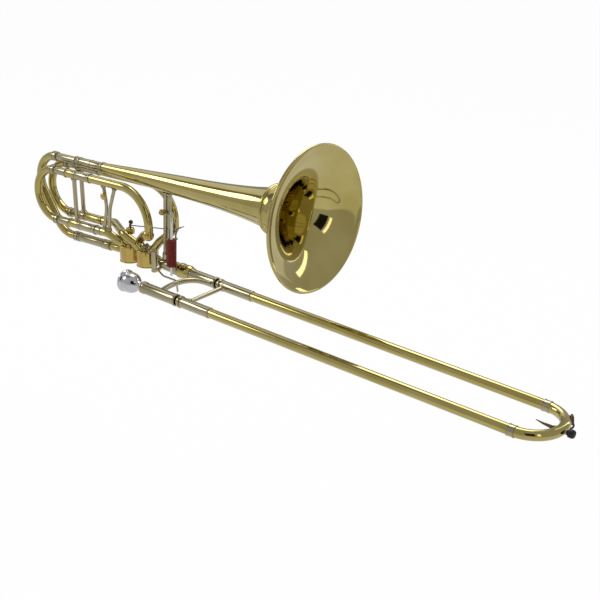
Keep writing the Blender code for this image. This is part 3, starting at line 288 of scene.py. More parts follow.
def piece(name, shells, place, node, slot=None, sharp=42):
    """One mesh object from (points, faces) shells in mm, which rides as its CAD node does."""
    offsets = np.cumsum([0] + [len(points) for points, _ in shells[:-1]])
    points = place(np.concatenate([points for points, _ in shells])) * MM
    faces = np.concatenate([faces + offset for (_, faces), offset in zip(shells, offsets)])
    mesh = bpy.data.meshes.new(name)
    mesh.from_pydata(points, [], faces)
    form = bmesh.new()
    form.from_mesh(mesh)
    bmesh.ops.remove_doubles(form, verts=form.verts, dist=MERGE)
    form.to_mesh(mesh)
    form.free()
    mesh.validate()
    mesh.shade_smooth()
    mesh.set_sharp_from_angle(angle=math.radians(sharp))
    obj = bpy.data.objects.new(name, mesh)
    bpy.context.scene.collection.objects.link(obj)
    slot = slot or NODE_SLOT[node]
    mesh.materials.append(LOOKS[slot])
    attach(obj, NODE_BODY[node])
    return obj


def stand_in(node, shells, place, slot=None, sharp=42):
    """The fine piece that takes the place of the CAD node of the same name."""
    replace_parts(piece(node + "_fine", shells, place, node, slot, sharp), node)


# %% [markdown]
# A turned piece is drawn as its profile: (radius, distance along the axis), up the outside
# and back down the bore. A real lathe leaves no knife edge, so every corner is eased: it
# gives way to three points on a curve through the corner's two neighbours.

# %% Turned pieces
ALONG, UP, OUTWARD = (1.0, 0.0, 0.0), (0.0, 0.0, 1.0), (0.0, -1.0, 0.0)
EASE_SHARE = 0.4
ORB_RINGS = 17
# How far from a corner its easing starts: as usual, on well rounded work, and on crisp edges.
EASE, SOFT, CRISP = 0.3, 0.8, 0.2


def eased(profile, ease, closed):
    """Each corner P becomes a, (a + 2P + b) / 4 and b, with a and b at most ease from P."""
    points = np.array(profile, float)
    before, after = np.roll(points, 1, axis=0), np.roll(points, -1, axis=0)
    back, ahead = before - points, after - points
    back_length = np.maximum(np.hypot(*back.T), 1e-9)[:, None]
    ahead_length = np.maximum(np.hypot(*ahead.T), 1e-9)[:, None]
    start = points + back / back_length * np.minimum(ease, back_length * EASE_SHARE)
    end = points + ahead / ahead_length * np.minimum(ease, ahead_length * EASE_SHARE)
    rounded = np.stack([start, (start + 2 * points + end) / 4, end], axis=1).reshape(-1, 2)
    if closed:
        return rounded
    return np.concatenate([points[:1], rounded[3:-3], points[-1:]])


def lathe(profile, at, axis=ALONG, sides=SIDES, ease=EASE, closed=True):
    """A closed profile of (radius, distance along the axis), turned about the axis through a point."""
    profile = eased(profile, ease, closed) if ease else np.array(profile, float)
    axis = np.array(axis, float) / np.linalg.norm(axis)
    side = np.array(UP if abs(axis[2]) < 0.9 else ALONG)
    across = np.cross(side, axis)
    across /= np.linalg.norm(across)
    up = np.cross(axis, across)
    centres = np.array(at, float) + profile[:, 1:] * axis
    count = len(profile)
    return skin(centres, np.tile(across, (count, 1)), np.tile(up, (count, 1)), profile[:, 0], sides, closed)


def collar(inner, outer, start, end, at, ease=EASE, sides=SIDES):
    """A plain ring between two distances along X."""
    return lathe([(inner, start), (outer, start), (outer, end), (inner, end)], at, ALONG, sides, ease)


def solid(profile, at, axis=UP, sides=32, ease=0.4):
    """A turned piece with no bore: its profile starts and ends on the axis."""
    return lathe(profile, at, axis, sides, ease, closed=False)


def bar(radius, start, end, sides=24, ease=EASE):
    """A solid round bar between two points."""
    axis = np.subtract(end, start)
    length = np.linalg.norm(axis)
    return solid([(0, 0), (radius, 0), (radius, length), (0, length)], start, axis, sides, ease)


def orb(radius, at, sides=24):
    """A ball: radius r cos t at height r sin t, for t from -90 to 90 degrees."""
    t = np.linspace(-math.pi / 2, math.pi / 2, ORB_RINGS)
    profile = np.stack([np.maximum(radius * np.cos(t), 0), radius * np.sin(t)], axis=1)
    profile[[0, -1], 0] = 0
    return solid(profile, at, UP, sides, 0)


print("a plain ring has", len(collar(7, 8, 0, 10, (0, 0, 0))[0]), "points once its corners are eased")

# %% [markdown]
# A bent tube follows a route of straight runs and round corners. Each corner names its bend
# radius, and the arc starts where a circle of that radius touches both runs. A free curve
# would be quicker to draw, but a tube bender makes runs and arcs.

# %% Routes
ARC_STEP, SHORTEST_STEP = 2.5, 0.05


def unit(vector):
    """The vector over its own length."""
    return vector / np.linalg.norm(vector)


def corner(at, radius):
    """A stop on a route where the tube bends with this radius."""
    return (*at, radius)


def route(*stops):
    """Stations and their directions along straight runs and arcs of the given corner radii.

    An arc leaves its run r tan(turn / 2) before the corner, and its point at angle t is
    r (into sin t + inward (1 - cos t)) further on.
    """
    marks = [np.array(stop[:3], float) for stop in stops]
    places, headings = [marks[0][None]], [unit(marks[1] - marks[0])[None]]
    for before, middle, after, stop in zip(marks, marks[1:], marks[2:], stops[1:]):
        radius, into, out = stop[3], unit(middle - before), unit(after - middle)
        turn = math.acos(np.clip(into @ out, -1, 1))
        inward = unit(out - into * math.cos(turn))
        t = np.linspace(0, turn, max(3, int(math.degrees(turn) / ARC_STEP) + 1))[:, None]
        start = middle - into * radius * math.tan(turn / 2)
        places.append(start + radius * (into * np.sin(t) + inward * (1 - np.cos(t))))
        headings.append(into * np.cos(t) + inward * np.sin(t))
    places = np.concatenate(places + [marks[-1][None]])
    headings = np.concatenate(headings + [unit(marks[-1] - marks[-2])[None]])
    keep = np.append(True, np.linalg.norm(np.diff(places, axis=0), axis=1) > SHORTEST_STEP)
    return places[keep], headings[keep]


def frames(headings, reference):
    """across = heading x reference, made unit; up = heading x across."""
    across = np.cross(headings, np.array(reference, float))
    across /= np.linalg.norm(across, axis=1)[:, None]
    return across, np.cross(headings, across)


right_angle = route((0, 0, 0), (100, 0, 0, 50), (100, 0, 100))
print("corner of 90 degrees and 50 mm:", len(right_angle[0]), "stations")

# %% [markdown]
# Tubes and rods are circles carried along a route. The circle is kept square to it with one
# fixed reference direction for each tube, which is enough where a tube bends in one plane or
# nearly so. A tube has a wall and open ends; a rod is filed round at both ends.

# %% Tubes and rods
DOME_RINGS = 5


def pipe(stops, radius, wall=0.6, reference=(0, 1, 0), sides=SIDES):
    """A hollow tube: out along the outside, back along the bore."""
    places, headings = route(*stops)
    across, up = frames(headings, reference)
    out = np.arange(len(places))
    trip = np.append(out, out[::-1])
    radii = np.repeat([radius, radius - wall], len(places))
    return skin(places[trip], across[trip], up[trip], radii, sides, True)


def rod(stops, radius, reference=(0, 1, 0), sides=20, tip=None):
    """A solid bent bar with domed ends; the radius may run evenly to another at the tip.

    A dome's ring at angle t has the radius r sin t and lies r cos t beyond the bar's end.
    """
    places, headings = route(*stops)
    travelled = np.append(0, np.cumsum(np.linalg.norm(np.diff(places, axis=0), axis=1)))
    radii = radius + ((tip or radius) - radius) * travelled / travelled[-1]
    t = np.linspace(0, math.pi / 2, DOME_RINGS + 1)[:-1]
    head = places[0] - headings[0] * (radii[0] * np.cos(t))[:, None]
    tail = places[-1] + headings[-1] * (radii[-1] * np.cos(t[::-1]))[:, None]
    both_ends = ((DOME_RINGS, DOME_RINGS), (0, 0))
    across, up = [np.pad(rows, both_ends, mode="edge") for rows in frames(headings, reference)]
    radii = np.concatenate([radii[0] * np.sin(t), radii, radii[-1] * np.sin(t[::-1])])
    return skin(np.concatenate([head, places, tail]), across, up, radii, sides, False)


print("a straight tube has", len(pipe([(0, 0, 0), (10, 0, 0)], 8)[0]), "points")

# %% [markdown]
# The hand slide. Two brass outer tubes run over the inner ones. Their first stretch is a
# nickel sleeve with the brace that the right hand holds, and their far ends sit in nickel
# ferrules that carry the bow. Small turned beads mark every soldered joint. All of it is
# turned work, so profiles are the shortest way to draw it.

# %% Hand slide: tubes, sleeves and brace
FAR, NEAR = (0.0, 0.0, 0.0), (0.0, -98.6, 0.0)
MID_Y = NEAR[1] / 2
OUTER_R, WALL = 8.2, 0.6
TUBE_START, TUBE_END = 128.0, 764.2
FERRULE_R, FERRULE_BEAD_R, FERRULE_BEAD = 8.9, 9.4, 2.0
FERRULE_START, FERRULE_END = 759.3, 771.5
SLEEVE_R, SLEEVE_BEAD_R = 9.2, 9.45
RING_R, RING_START, RING_END = 10.4, 128.0, 133.0
BRACE_X, BRACE_R, BRACE_FOOT_R = 141.0, 3.75, 6.6

for side, at in (("far", FAR), ("near", NEAR)):
    outer_tube = collar(OUTER_R - WALL, OUTER_R, TUBE_START, TUBE_END, at, sides=64)
    stand_in(f"outer_tube_{side}", [outer_tube], level)
    bands = [collar(OUTER_R, FERRULE_R, FERRULE_START + 0.7, FERRULE_END - 0.9, at)]
    for start in (FERRULE_START, FERRULE_END - FERRULE_BEAD):
        bands.append(collar(OUTER_R, FERRULE_BEAD_R, start, start + FERRULE_BEAD, at, SOFT))
    stand_in(f"bow_ferrule_{side}", bands, level)


def sleeve(at, start, end):
    """Nickel sleeve with a low bead where it ends on the brass tube."""
    profile = [(OUTER_R, start), (SLEEVE_R, start), (SLEEVE_R, end - 2.6), (SLEEVE_BEAD_R, end - 2),
               (SLEEVE_BEAD_R, end - 0.6), (9.0, end), (OUTER_R, end)]
    return lathe(profile, at, sides=64)


brace = solid([(0, 6.2), (BRACE_FOOT_R, 6.2), (6.4, 9.8), (4.6, 11.2), (BRACE_R, 13.2), (BRACE_R, 85.4),
               (4.6, 87.4), (6.4, 88.8), (BRACE_FOOT_R, 92.4), (0, 92.4)],
              (BRACE_X, 0, 0), OUTWARD, 40, SOFT)
far_ring = collar(OUTER_R, RING_R, RING_START, RING_END, FAR, SOFT)
sleeves = [sleeve(FAR, RING_END, 202), sleeve(NEAR, RING_END + 0.4, 196)]
stand_in("outer_brace", [*sleeves, far_ring, brace], level)
stand_in("slide_lock_ring", [collar(8.5, RING_R, RING_START, RING_END, NEAR, SOFT)], level)
print("outer tubes", 2 * OUTER_R, "mm across and", -NEAR[1], "mm apart")

# %% [markdown]
# The bow is a half circle between the two tubes, bent with a mandrel inside. It is drawn as
# two right-angle bends of nearly half the spacing each, which meet in the middle. A rubber
# bumper sits on a short stem at its outermost point, so that the slide can stand on it.

# %% Hand slide: bow and bumper
BOW_X, BOW_START = 766.0, 764.6
BOW_R = -MID_Y
bend = BOW_R - 0.01
bow = pipe([(BOW_START, 0, 0), (BOW_X + BOW_R, 0, 0, bend), (BOW_X + BOW_R, NEAR[1], 0, bend),
            (BOW_START, NEAR[1], 0)], OUTER_R, WALL, UP, 64)
stand_in("slide_bow", [bow], level)
bow_tip = (BOW_X + BOW_R + OUTER_R, MID_Y, 0)
stem = solid([(0, -0.1), (4.4, -0.1), (4.2, 1.5), (2.6, 2.5), (2.6, 8.5), (0, 8.5)], bow_tip,
             ALONG, ease=EASE)
stand_in("bumper_stem", [stem], level)
rubber_tip = solid([(0, 2.9), (4.6, 2.9), (6.5, 4.9), (6.5, 10.9), (5.2, 13.4), (0, 13.6)], bow_tip,
                   ALONG, 40, 1.4)
stand_in("bumper_tip", [rubber_tip], level)
print("bow radius", BOW_R, "mm")

# %% [markdown]
# The water key lets condensed breath out of the bow: a sprung lever with a corked cup. Its
# tail is a flat, pointed finger touch, and it hangs on a pin between two small posts under
# the bow. Bent bars make the lever; the touch is one more bar, squeezed flat.

# %% Hand slide: water key
KEY = np.array([803.0, -19.5, -12.8])
CUP_HEADING = math.radians(43)
KEY_ARM_R, KEY_NOSE_R, KNUCKLE_R = 1.7, 1.5, 2.4
TOUCH_WIDE, TOUCH_THICK, TOUCH_TIP = 4.0, 2.0, 1.0
toward = np.array([math.cos(CUP_HEADING), math.sin(CUP_HEADING), 0])
cup_face = np.array([BOW_X, MID_Y, -2.0]) + toward * (BOW_R + OUTER_R + 0.3)


def blade(stops, wide, thick, tip):
    """A round bar squeezed flat: each height over the run's own shrinks by thick / wide."""
    points, faces = rod(stops, wide, UP, 24, tip)
    run = np.array([stop[:3] for stop in stops])
    run = run[np.argsort(run[:, 0])]
    middle = np.interp(points[:, 0], run[:, 0], run[:, 2])
    points[:, 2] = middle + (points[:, 2] - middle) * thick / wide
    return points, faces


touch_start = KEY + (-15, -8.6, -0.6)
touch = blade([touch_start, corner(KEY + (-25, -14.4, 3.6), 20), KEY + (-33, -19, 8)],
              TOUCH_WIDE, TOUCH_THICK, TOUCH_TIP)
key_arm = rod([KEY + (-1.2, 0, -0.5), corner(KEY + (-6, -1.2, -0.8), 3), touch_start], KEY_ARM_R, UP)
nose = rod([KEY + (1.2, 0, -0.4), corner(KEY + (6, 1, -0.6), 3), corner(KEY + (12.4, 11.7, -0.6), 4),
            KEY + (8.3, 12.5, 8)], KEY_NOSE_R, UP)
knuckle = bar(KNUCKLE_R, KEY - (0, 1.6, 0), KEY + (0, 1.6, 0))
cup = solid([(0, 2.6), (7.4, 2.6), (7.4, 1.9), (8.2, 1.9), (8.2, 3.2), (7.2, 4.0), (0, 4.0)],
            cup_face, toward, 40)
stand_in("water_key_lever", [touch, key_arm, nose, knuckle, cup], level)
pad = solid([(0, 0.1), (6.7, 0.1), (6.7, 1.5), (0, 1.5)], cup_face, toward, ease=EASE)
stand_in("water_key_cork", [pad], level)
print("water key pivot at", KEY)

# %% [markdown]
# The inner slide stays with the bell. Its tubes show only for a few millimetres at rest, but
# for more than half a metre when the slide is out, and each is a little thicker near its
# end, where it runs in the outer one. Each starts in a nickel cork barrel, and an arched
# brace joins the two.

# %% Inner slide
INNER_R, STOCKING_R, INNER_END = 7.1, 7.35, 748.0
BARREL_R, BARREL_END, BARREL_MOUTH = 9.9, 122.0, 32.0
FAR_BARREL_START, NEAR_BARREL_START = 64, 47
ARCH_R, ARCH_WALL, ARCH_RISE, ARCH_BEND = 4.6, 0.8, 21, 86

for side, at, start in (("far", FAR, 50.0), ("near", NEAR, 70.0)):
    stocking = [(INNER_R - WALL, start), (INNER_R, start), (INNER_R, 632), (STOCKING_R, 633.5),
                (STOCKING_R, INNER_END), (INNER_R - WALL, INNER_END)]
    stand_in(f"inner_tube_{side}", [lathe(stocking, at)], level)


def barrel(start, at, tail):
    """Cork barrel: beads at both ends, an open mouth in front and a tail behind."""
    end, bead_r, mouth_r = BARREL_END, BARREL_R + 0.8, BARREL_R - 1.2
    profile = tail + [(bead_r, start), (bead_r, start + 2.4), (BARREL_R, start + 3.2), (BARREL_R, end - 5.6),
                      (bead_r, end - 5), (bead_r, end - 0.4), (BARREL_R - 0.2, end), (mouth_r, end),
                      (mouth_r, start + BARREL_MOUTH), (INNER_R, start + BARREL_MOUTH)]
    return lathe(profile, at, sides=64)


far_tail = [(INNER_R, 1), (8.4, 1), (8.4, FAR_BARREL_START)]
near_tail = [(INNER_R, 68), (6.4, 68), (6.5, 42), (BARREL_R - 0.2, 42), (BARREL_R + 0.6, 42.6),
             (BARREL_R + 0.6, 44.2), (BARREL_R - 0.4, 45), (BARREL_R - 0.4, NEAR_BARREL_START)]
stand_in("far_barrel", [barrel(FAR_BARREL_START, FAR, far_tail)], level)
stand_in("near_barrel", [barrel(NEAR_BARREL_START, NEAR, near_tail)], level)

arch_from, arch_to = np.array([76.0, NEAR[1] + BARREL_R, 0]), np.array([112.0, -BARREL_R, 0])
crown = (arch_from + arch_to) / 2 + (0, 0, ARCH_RISE)
arch_stops = [arch_from - unit(crown - arch_from) * 3, corner(crown, ARCH_BEND),
              arch_to - unit(crown - arch_to) * 3]
stand_in("inner_brace", [pipe(arch_stops, ARCH_R, ARCH_WALL, ALONG, 40)], level)
print("cork barrels", 2 * BARREL_R, "mm across")

# %% [markdown]
# A mouthpiece is turned from one bar and silver plated, so its curves flow into each other.
# The outline is a smooth curve through a few turned sizes: a rounded rim, a deep cup and a
# long tapered shank.

# %% Mouthpiece
def flowing(points, per_span=8):
    """Catmull-Rom curve: cubics that run at each point as the line between its neighbours does."""
    points = np.array(points, float)
    padded = np.concatenate([points[:1], points, points[-1:]])
    t = (np.arange(per_span) / per_span)[:, None, None]
    p0, p1, p2, p3 = padded[:-3], padded[1:-2], padded[2:-1], padded[3:]
    squared, cubed = 2 * p0 - 5 * p1 + 4 * p2 - p3, 3 * p1 - p0 - 3 * p2 + p3
    spans = 0.5 * (2 * p1 + (p2 - p0) * t + squared * t ** 2 + cubed * t ** 3)
    return np.concatenate([spans.transpose(1, 0, 2).reshape(-1, 2), points[-1:]])


outside = flowing([(13.8, -1.0), (15.4, -1.6), (18.4, -0.9), (19.5, 1.6), (18.7, 4.2), (16.6, 7.0),
                   (17.8, 11), (17.6, 17), (15.6, 23.4), (11.8, 28.4), (8.4, 32.0), (6.9, 36),
                   (6.2, 42), (5.6, 66)])
cup_curve = flowing([(4.4, 66), (3.6, 34), (3.7, 30), (7.0, 24.6), (11.2, 17), (13.2, 9), (13.4, 2),
                     (13.8, -1.0)])
mouthpiece = lathe(np.concatenate([outside, cup_curve[:-1]]), NEAR, sides=72, ease=0)
stand_in("mouthpiece", [mouthpiece], level, sharp=60)
print("mouthpiece rim", 2 * outside[:, 0].max(), "mm across")

# %% [markdown]
# The far slide tube ends in a tapered tenon that the bell section's receiver takes, and a
# turning nut pulls the joint tight. The neckpipe leads on from there to the front valve.
# Receiver and nut are turned; the neckpipe bends up from the slide's line to the bell's.

# %% Joint between slide and bell
NECK_R = 7.5
receiver = lathe([(7.8, -7), (9.6, -7), (10.2, 2), (10.3, 20), (11.5, 22.6), (11.5, 34.4), (11, 35),
                  (8.4, 35)], FAR, sides=64)
stand_in("slide_receiver", [receiver], level)
nut = lathe([(8.4, 36), (12.4, 36), (13.4, 37.2), (13.4, 42.6), (12.6, 43.6), (12.6, 50), (13.4, 51),
             (13.4, 58), (11.2, 63), (8.4, 63)], FAR, sides=96)
stand_in("bell_lock_nut", [nut], level)
neck_port = tipped(np.array([63.15, 0.0, 0.0]))
stand_in("neckpipe", [pipe([neck_port, (-20, 0, 4.35, 18), (-9, 0, 0, 18), (-1, 0, 0)], NECK_R)], level)
print("neckpipe leaves the front valve at", neck_port.round(1))

# %% [markdown]
# A bell is spun from one sheet of brass. Its outline follows a Bessel horn: the radius falls
# as a power of the distance behind the rim, so it opens slowly and then all at once. The
# edge is rolled round a wire, and the inside is the same curve less the sheet's thickness.
# Flare and stem are two pieces of one curve, and a heavy ring joins them at the neck.

# %% Bell
BELL = (0.0, 0.0, 145.7)
RIM_X, RIM_R, BEAD_R, SHEET = 430.0, 120.64, 2.2, 0.9
OFFSET, POWER, FLARE_LENGTH, TAIL_X, TAIL_R = 16.0, 0.642, 300.0, -53.0, 8.6
BEAD_BACK, STEM_START, STEM_END = 3.4, 84.0, 483.0
ROLL_FROM, ROLL_TO = -160, 150
# Stations crowd towards the rim, where the curve turns fastest.
CROWDING = 1.6


def horn_radius(back):
    """R ((s + c) / c)^-p at a distance s behind the rim, then a straight cone to the tail."""
    curve = RIM_R * ((np.minimum(back, FLARE_LENGTH) + OFFSET) / OFFSET) ** -POWER
    end = RIM_R * ((FLARE_LENGTH + OFFSET) / OFFSET) ** -POWER
    share = np.maximum(back - FLARE_LENGTH, 0) / (RIM_X - TAIL_X - FLARE_LENGTH)
    return curve + (TAIL_R - end) * share


def horn(front, back, count):
    """Outside from the back to the front, then the inside from the front to the back."""
    s = front + (back - front) * np.linspace(1, 0, count) ** CROWDING
    radius = horn_radius(s)
    slope = np.arctan(radius - horn_radius(s + 1.0))
    outer = np.stack([radius, RIM_X - s], axis=1)
    inner = np.stack([radius - SHEET * np.cos(slope), RIM_X - s + SHEET * np.sin(slope)], axis=1)
    return outer, inner[::-1]


outer, inner = horn(BEAD_BACK, STEM_START - 0.1, 60)
t = np.radians(np.linspace(ROLL_FROM, ROLL_TO, 22))
bead = np.stack([RIM_R - BEAD_R + BEAD_R * np.cos(t), RIM_X - BEAD_R + BEAD_R * np.sin(t)], axis=1)
flare = lathe(np.concatenate([outer, bead, inner]), BELL, sides=144, ease=0)
stand_in("bell_flare", [flare], tipped, sharp=60)
stem_shell = lathe(np.concatenate(horn(STEM_START, STEM_END, 70)), BELL, sides=96, ease=0)
stand_in("bell_stem", [stem_shell], tipped, sharp=60)
print("bell", 2 * RIM_R, "mm across")

# %% [markdown]
# The neck ring is a heavy turned ring over the joint of flare and stem, and a thin band lies
# in front of it. A ring of one bore would stand clear of the cone at one end, so the bore
# takes its size at each end from the horn's own curve. The band ends where the flare has
# grown as wide as the band is.

# %% Neck ring
RING_BACK_X, RING_FRONT_X, RING_STANDS_OUT, RING_GAP = 341.0, 351.0, 4.0, 0.05
horn_back, horn_front = [float(horn_radius(np.array(RIM_X - x))) for x in (RING_BACK_X, RING_FRONT_X)]
back_bore, front_bore = horn_back + RING_GAP, horn_front + RING_GAP
ring_r = horn_front + RING_STANDS_OUT
band_r = ring_r - 0.9
ring_at = (RING_BACK_X, BELL[1], BELL[2])
neck_ring = lathe([(back_bore, 0), (ring_r - 2.4, 0), (ring_r - 0.4, 1), (ring_r, 2.4), (ring_r, 4.6),
                   (ring_r - 0.6, 6), (ring_r - 1.8, 6.8), (ring_r - 1.8, 7.8), (band_r, 8.4), (band_r, 10),
                   (front_bore, 10)], ring_at, sides=144)
stand_in("neck_ring", [neck_ring], tipped, "lacquered_brass")
band_start, band_end = RING_FRONT_X + 0.2, RIM_X + OFFSET - OFFSET * (band_r / RIM_R) ** (-1 / POWER)
seat_band = lathe([(front_bore + 0.5, band_start), (band_r, band_start), (band_r, band_end),
                   (band_r - 0.5, band_end)], BELL, sides=144, ease=0.1)
piece("bell_seat_band", [seat_band], tipped, "bell_flare")
print("neck ring", round(2 * ring_r, 1), "mm across")

# %% [markdown]
# Tuning slides. Each has a brass bow with nickel legs that slide in nickel sleeves, and a
# bead at every joint. The main one sits behind the bell; the other two tune the valves. A
# bow is one bent tube, and everything on its legs is a plain ring.

# %% Main tuning slide
TUBE_R, LEG_R, SLEEVE = 7.5, 7.1, 8.2
LEG_BORE = 6.5
LOW = (0.0, 0.0, 0.0)


def bead_ring(x, at, inner=TUBE_R, outer=9.3, half=1.3):
    """A rounded bead at x on a tube, from half before it to half behind it."""
    return collar(inner - 0.3, outer, x - half, x + half, at, SOFT)


def sleeve_beads(at, *marks):
    """Beads on a sleeve, each given as its place and radius, and half its width if it isn't 1.3."""
    return [bead_ring(x, at, SLEEVE, *sizes) for x, *sizes in marks]


bow = pipe([(-179.5, 0, BELL[2]), (-264.2, 0, BELL[2], 47), (-173.2, 0, 0, 42.5), (-135.5, 0, 0)], TUBE_R)
stand_in("main_tuning_crook", [bow], tipped)
legs = [
    collar(LEG_BORE, LEG_R, -178, -72, BELL, CRISP), collar(LEG_BORE, LEG_R, -136, -68, LOW, CRISP),
    collar(7.2, 8.7, -183, -177, BELL), bead_ring(-184, BELL), bead_ring(-176.4, BELL, LEG_R, 9.0),
    collar(7.2, 8.7, -140, -133, LOW), bead_ring(-139.6, LOW), bead_ring(-132.6, LOW, LEG_R, 9.0),
]
piece("main_tuning_legs", legs, tipped, "main_tuning_crook", "nickel_silver")
upper = sleeve_beads(BELL, (-124.7, 9.1), (-114, 9.1), (-84, 8.9, 0.8), (-55, 9.8, 1.6))
stand_in("main_upper_sleeve", [collar(TUBE_R, SLEEVE, -126, -53.3, BELL, CRISP), *upper], tipped)
lower = sleeve_beads(LOW, (-128.7, 9.1), (-66, 9.1))
lower_tubes = [collar(TUBE_R, SLEEVE, -130, -64, LOW, CRISP), collar(TUBE_R, 9.1, -64, -46, LOW)]
stand_in("main_lower_sleeve", [*lower_tubes, *lower], tipped)
inlet = collar(6.9, TUBE_R, -47, -15.2, LOW, CRISP)
piece("main_inlet_tube", [inlet], tipped, "main_lower_sleeve", "lacquered_brass")
print("main tuning slide: tube", 2 * TUBE_R, "mm, sleeve", 2 * SLEEVE, "mm")

# %% [markdown]
# Each valve has a wrap of tubing with a small tuning slide of its own: one on the near side
# of the bell's plane, one on the far side. Their sleeves are part brass and part nickel, and
# a post with a flared foot at each end holds the two sleeves of a wrap apart.

# %% Valve wraps: sleeves and tuning slides
WRAP_Y = 22.0
NEAR_HIGH, NEAR_LOW = (0.0, -WRAP_Y, 128.2), (0.0, -WRAP_Y, 33.8)
FAR_HIGH, FAR_LOW = (0.0, WRAP_Y, 128.0), (0.0, WRAP_Y, 33.0)
BRASS_SLEEVE = SLEEVE - 0.1
POST_R, POST_INSET = 3.9, 7.0


def tuning_bow(name, x, high, low, leg_end):
    """Half-round bow, its two nickel legs and the beads where they are soldered."""
    radius = (high[2] - low[2]) / 2
    y, bend = high[1], radius - 0.3
    stops = [(x + 0.5, y, high[2]), (x - radius, y, high[2], bend), (x - radius, y, low[2], bend),
             (x + 0.5, y, low[2])]
    stand_in(f"{name}_tuning_crook", [pipe(stops, TUBE_R)], tipped)
    legs = []
    for at in (high, low):
        legs += [collar(LEG_BORE, LEG_R, x, leg_end, at, CRISP), collar(7.0, 8.5, x - 3, x + 3, at),
                 bead_ring(x - 3.4, at), bead_ring(x + 3.4, at, LEG_R, 9.0)]
    piece(f"{name}_tuning_legs", legs, tipped, f"{name}_tuning_crook", "nickel_silver")


def post(x, low, high):
    """An upright brace between two tubes, with a flared foot at each end."""
    length = high[2] - low[2] - 2 * POST_INSET
    half = [(0, 0), (POST_R + 2.2, 0), (POST_R + 2.0, 2.2), (POST_R + 0.4, 4.2), (POST_R, 6)]
    profile = half + [(radius, length - along) for radius, along in reversed(half)]
    return solid(profile, (x, low[1], low[2] + POST_INSET), ease=SOFT)


tuning_bow("near", -163, NEAR_HIGH, NEAR_LOW, -86)
tuning_bow("far", -174.5, FAR_HIGH, FAR_LOW, -104)
near_nickel = [
    collar(TUBE_R, SLEEVE, -130, -127, NEAR_HIGH), collar(TUBE_R, SLEEVE, -103, -66, NEAR_HIGH, CRISP),
    *sleeve_beads(NEAR_HIGH, (-128.7, 9.0), (-103.5, 8.9), (-67.2, 9.0)),
    collar(TUBE_R, SLEEVE, -100, -61, NEAR_LOW, CRISP), collar(TUBE_R, SLEEVE, -130, -126, NEAR_LOW),
    *sleeve_beads(NEAR_LOW, (-128.7, 9.0), (-100, 8.9), (-62.2, 9.0)), post(-110, NEAR_LOW, NEAR_HIGH),
]
stand_in("near_slide_sleeves", near_nickel, tipped)
near_brass = [collar(TUBE_R, BRASS_SLEEVE, -127, -103, NEAR_HIGH, CRISP),
              collar(TUBE_R, BRASS_SLEEVE, -126, -100, NEAR_LOW, CRISP)]
piece("near_sleeve_brass", near_brass, tipped, "near_slide_sleeves", "lacquered_brass")
far_nickel = [
    collar(TUBE_R, SLEEVE, -148, -89, FAR_HIGH, CRISP), collar(TUBE_R, SLEEVE, -148, -135, FAR_LOW, CRISP),
    *sleeve_beads(FAR_HIGH, (-146.7, 9.0), (-90.3, 9.0)),
    *sleeve_beads(FAR_LOW, (-146.7, 9.0), (-135, 8.9), (-90.3, 9.0)), post(-140, FAR_LOW, FAR_HIGH),
]
stand_in("far_slide_sleeves", far_nickel, tipped)
far_brass = [collar(TUBE_R, BRASS_SLEEVE, -135, -90, FAR_LOW, CRISP)]
piece("far_sleeve_brass", far_brass, tipped, "far_slide_sleeves", "lacquered_brass")
print("wraps", 2 * WRAP_Y, "mm apart")

# %% [markdown]
# The valve tubing leaves the drums obliquely through their tops, climbs, and turns back over
# a wide arc to its tuning slide. Each tube is one bent piece. Its route starts in its sleeve,
# and its last run points into the drum, a little further than the top of the casing.

# %% Valve tubing
DRUM_TOP = 14.2


def into_drum(turn, bend, port, reach=9.0):
    """The last two stops of a tube: its last corner, and an end that far beyond the drum's port."""
    return [corner(turn, bend), port + unit(np.subtract(port, turn)) * reach]


near_z, far_z = NEAR_HIGH[2], FAR_HIGH[2]
runs = {
    "near_front_tube": [(-65.7, -WRAP_Y, near_z), (74, -WRAP_Y, near_z, 63), (74, -WRAP_Y, 52, 12),
                        *into_drum((41, -2, 39), 18, (11.5, 9.2, DRUM_TOP))],
    "near_rear_tube": [(-60.7, -WRAP_Y, NEAR_LOW[2]), (-30, -WRAP_Y, NEAR_LOW[2], 17),
                       *into_drum((-8, -14, 20.5), 9, (-4.6, -9.3, DRUM_TOP), 6)],
    "far_front_tube": [(-88.7, WRAP_Y, far_z), (94.5, WRAP_Y, far_z, 56), (94.5, WRAP_Y, 54, 14),
                       *into_drum((64, 11.5, 27), 11, (55, 7.5, DRUM_TOP))],
    "far_rear_tube": [(-88.7, WRAP_Y, FAR_LOW[2]), (-81, WRAP_Y, FAR_LOW[2], 30), (-58, WRAP_Y, 36.5, 22),
                      (0, -13.5, 37, 22), *into_drum((28.6, -14.2, 26), 10, (36.2, -9.3, DRUM_TOP))],
}
for name, stops in runs.items():
    stand_in(name, [pipe(stops, TUBE_R)], tipped)
near_bands = [bead_ring(-60, NEAR_LOW), collar(TUBE_R - 0.2, TUBE_R + 0.5, -60, -44, NEAR_LOW)]
piece("near_tube_bands", near_bands, tipped, "near_rear_tube", "nickel_silver")
print(len(runs), "valve tubes")

# %% [markdown]
# The two valves are short drums of red brass, each with a rotor inside that turns about an
# upright spindle. Casing, cap and spindle seat are turned. The rear rotor's spindle reaches
# up between the tubes to a knob with a small ball, and they turn with it.

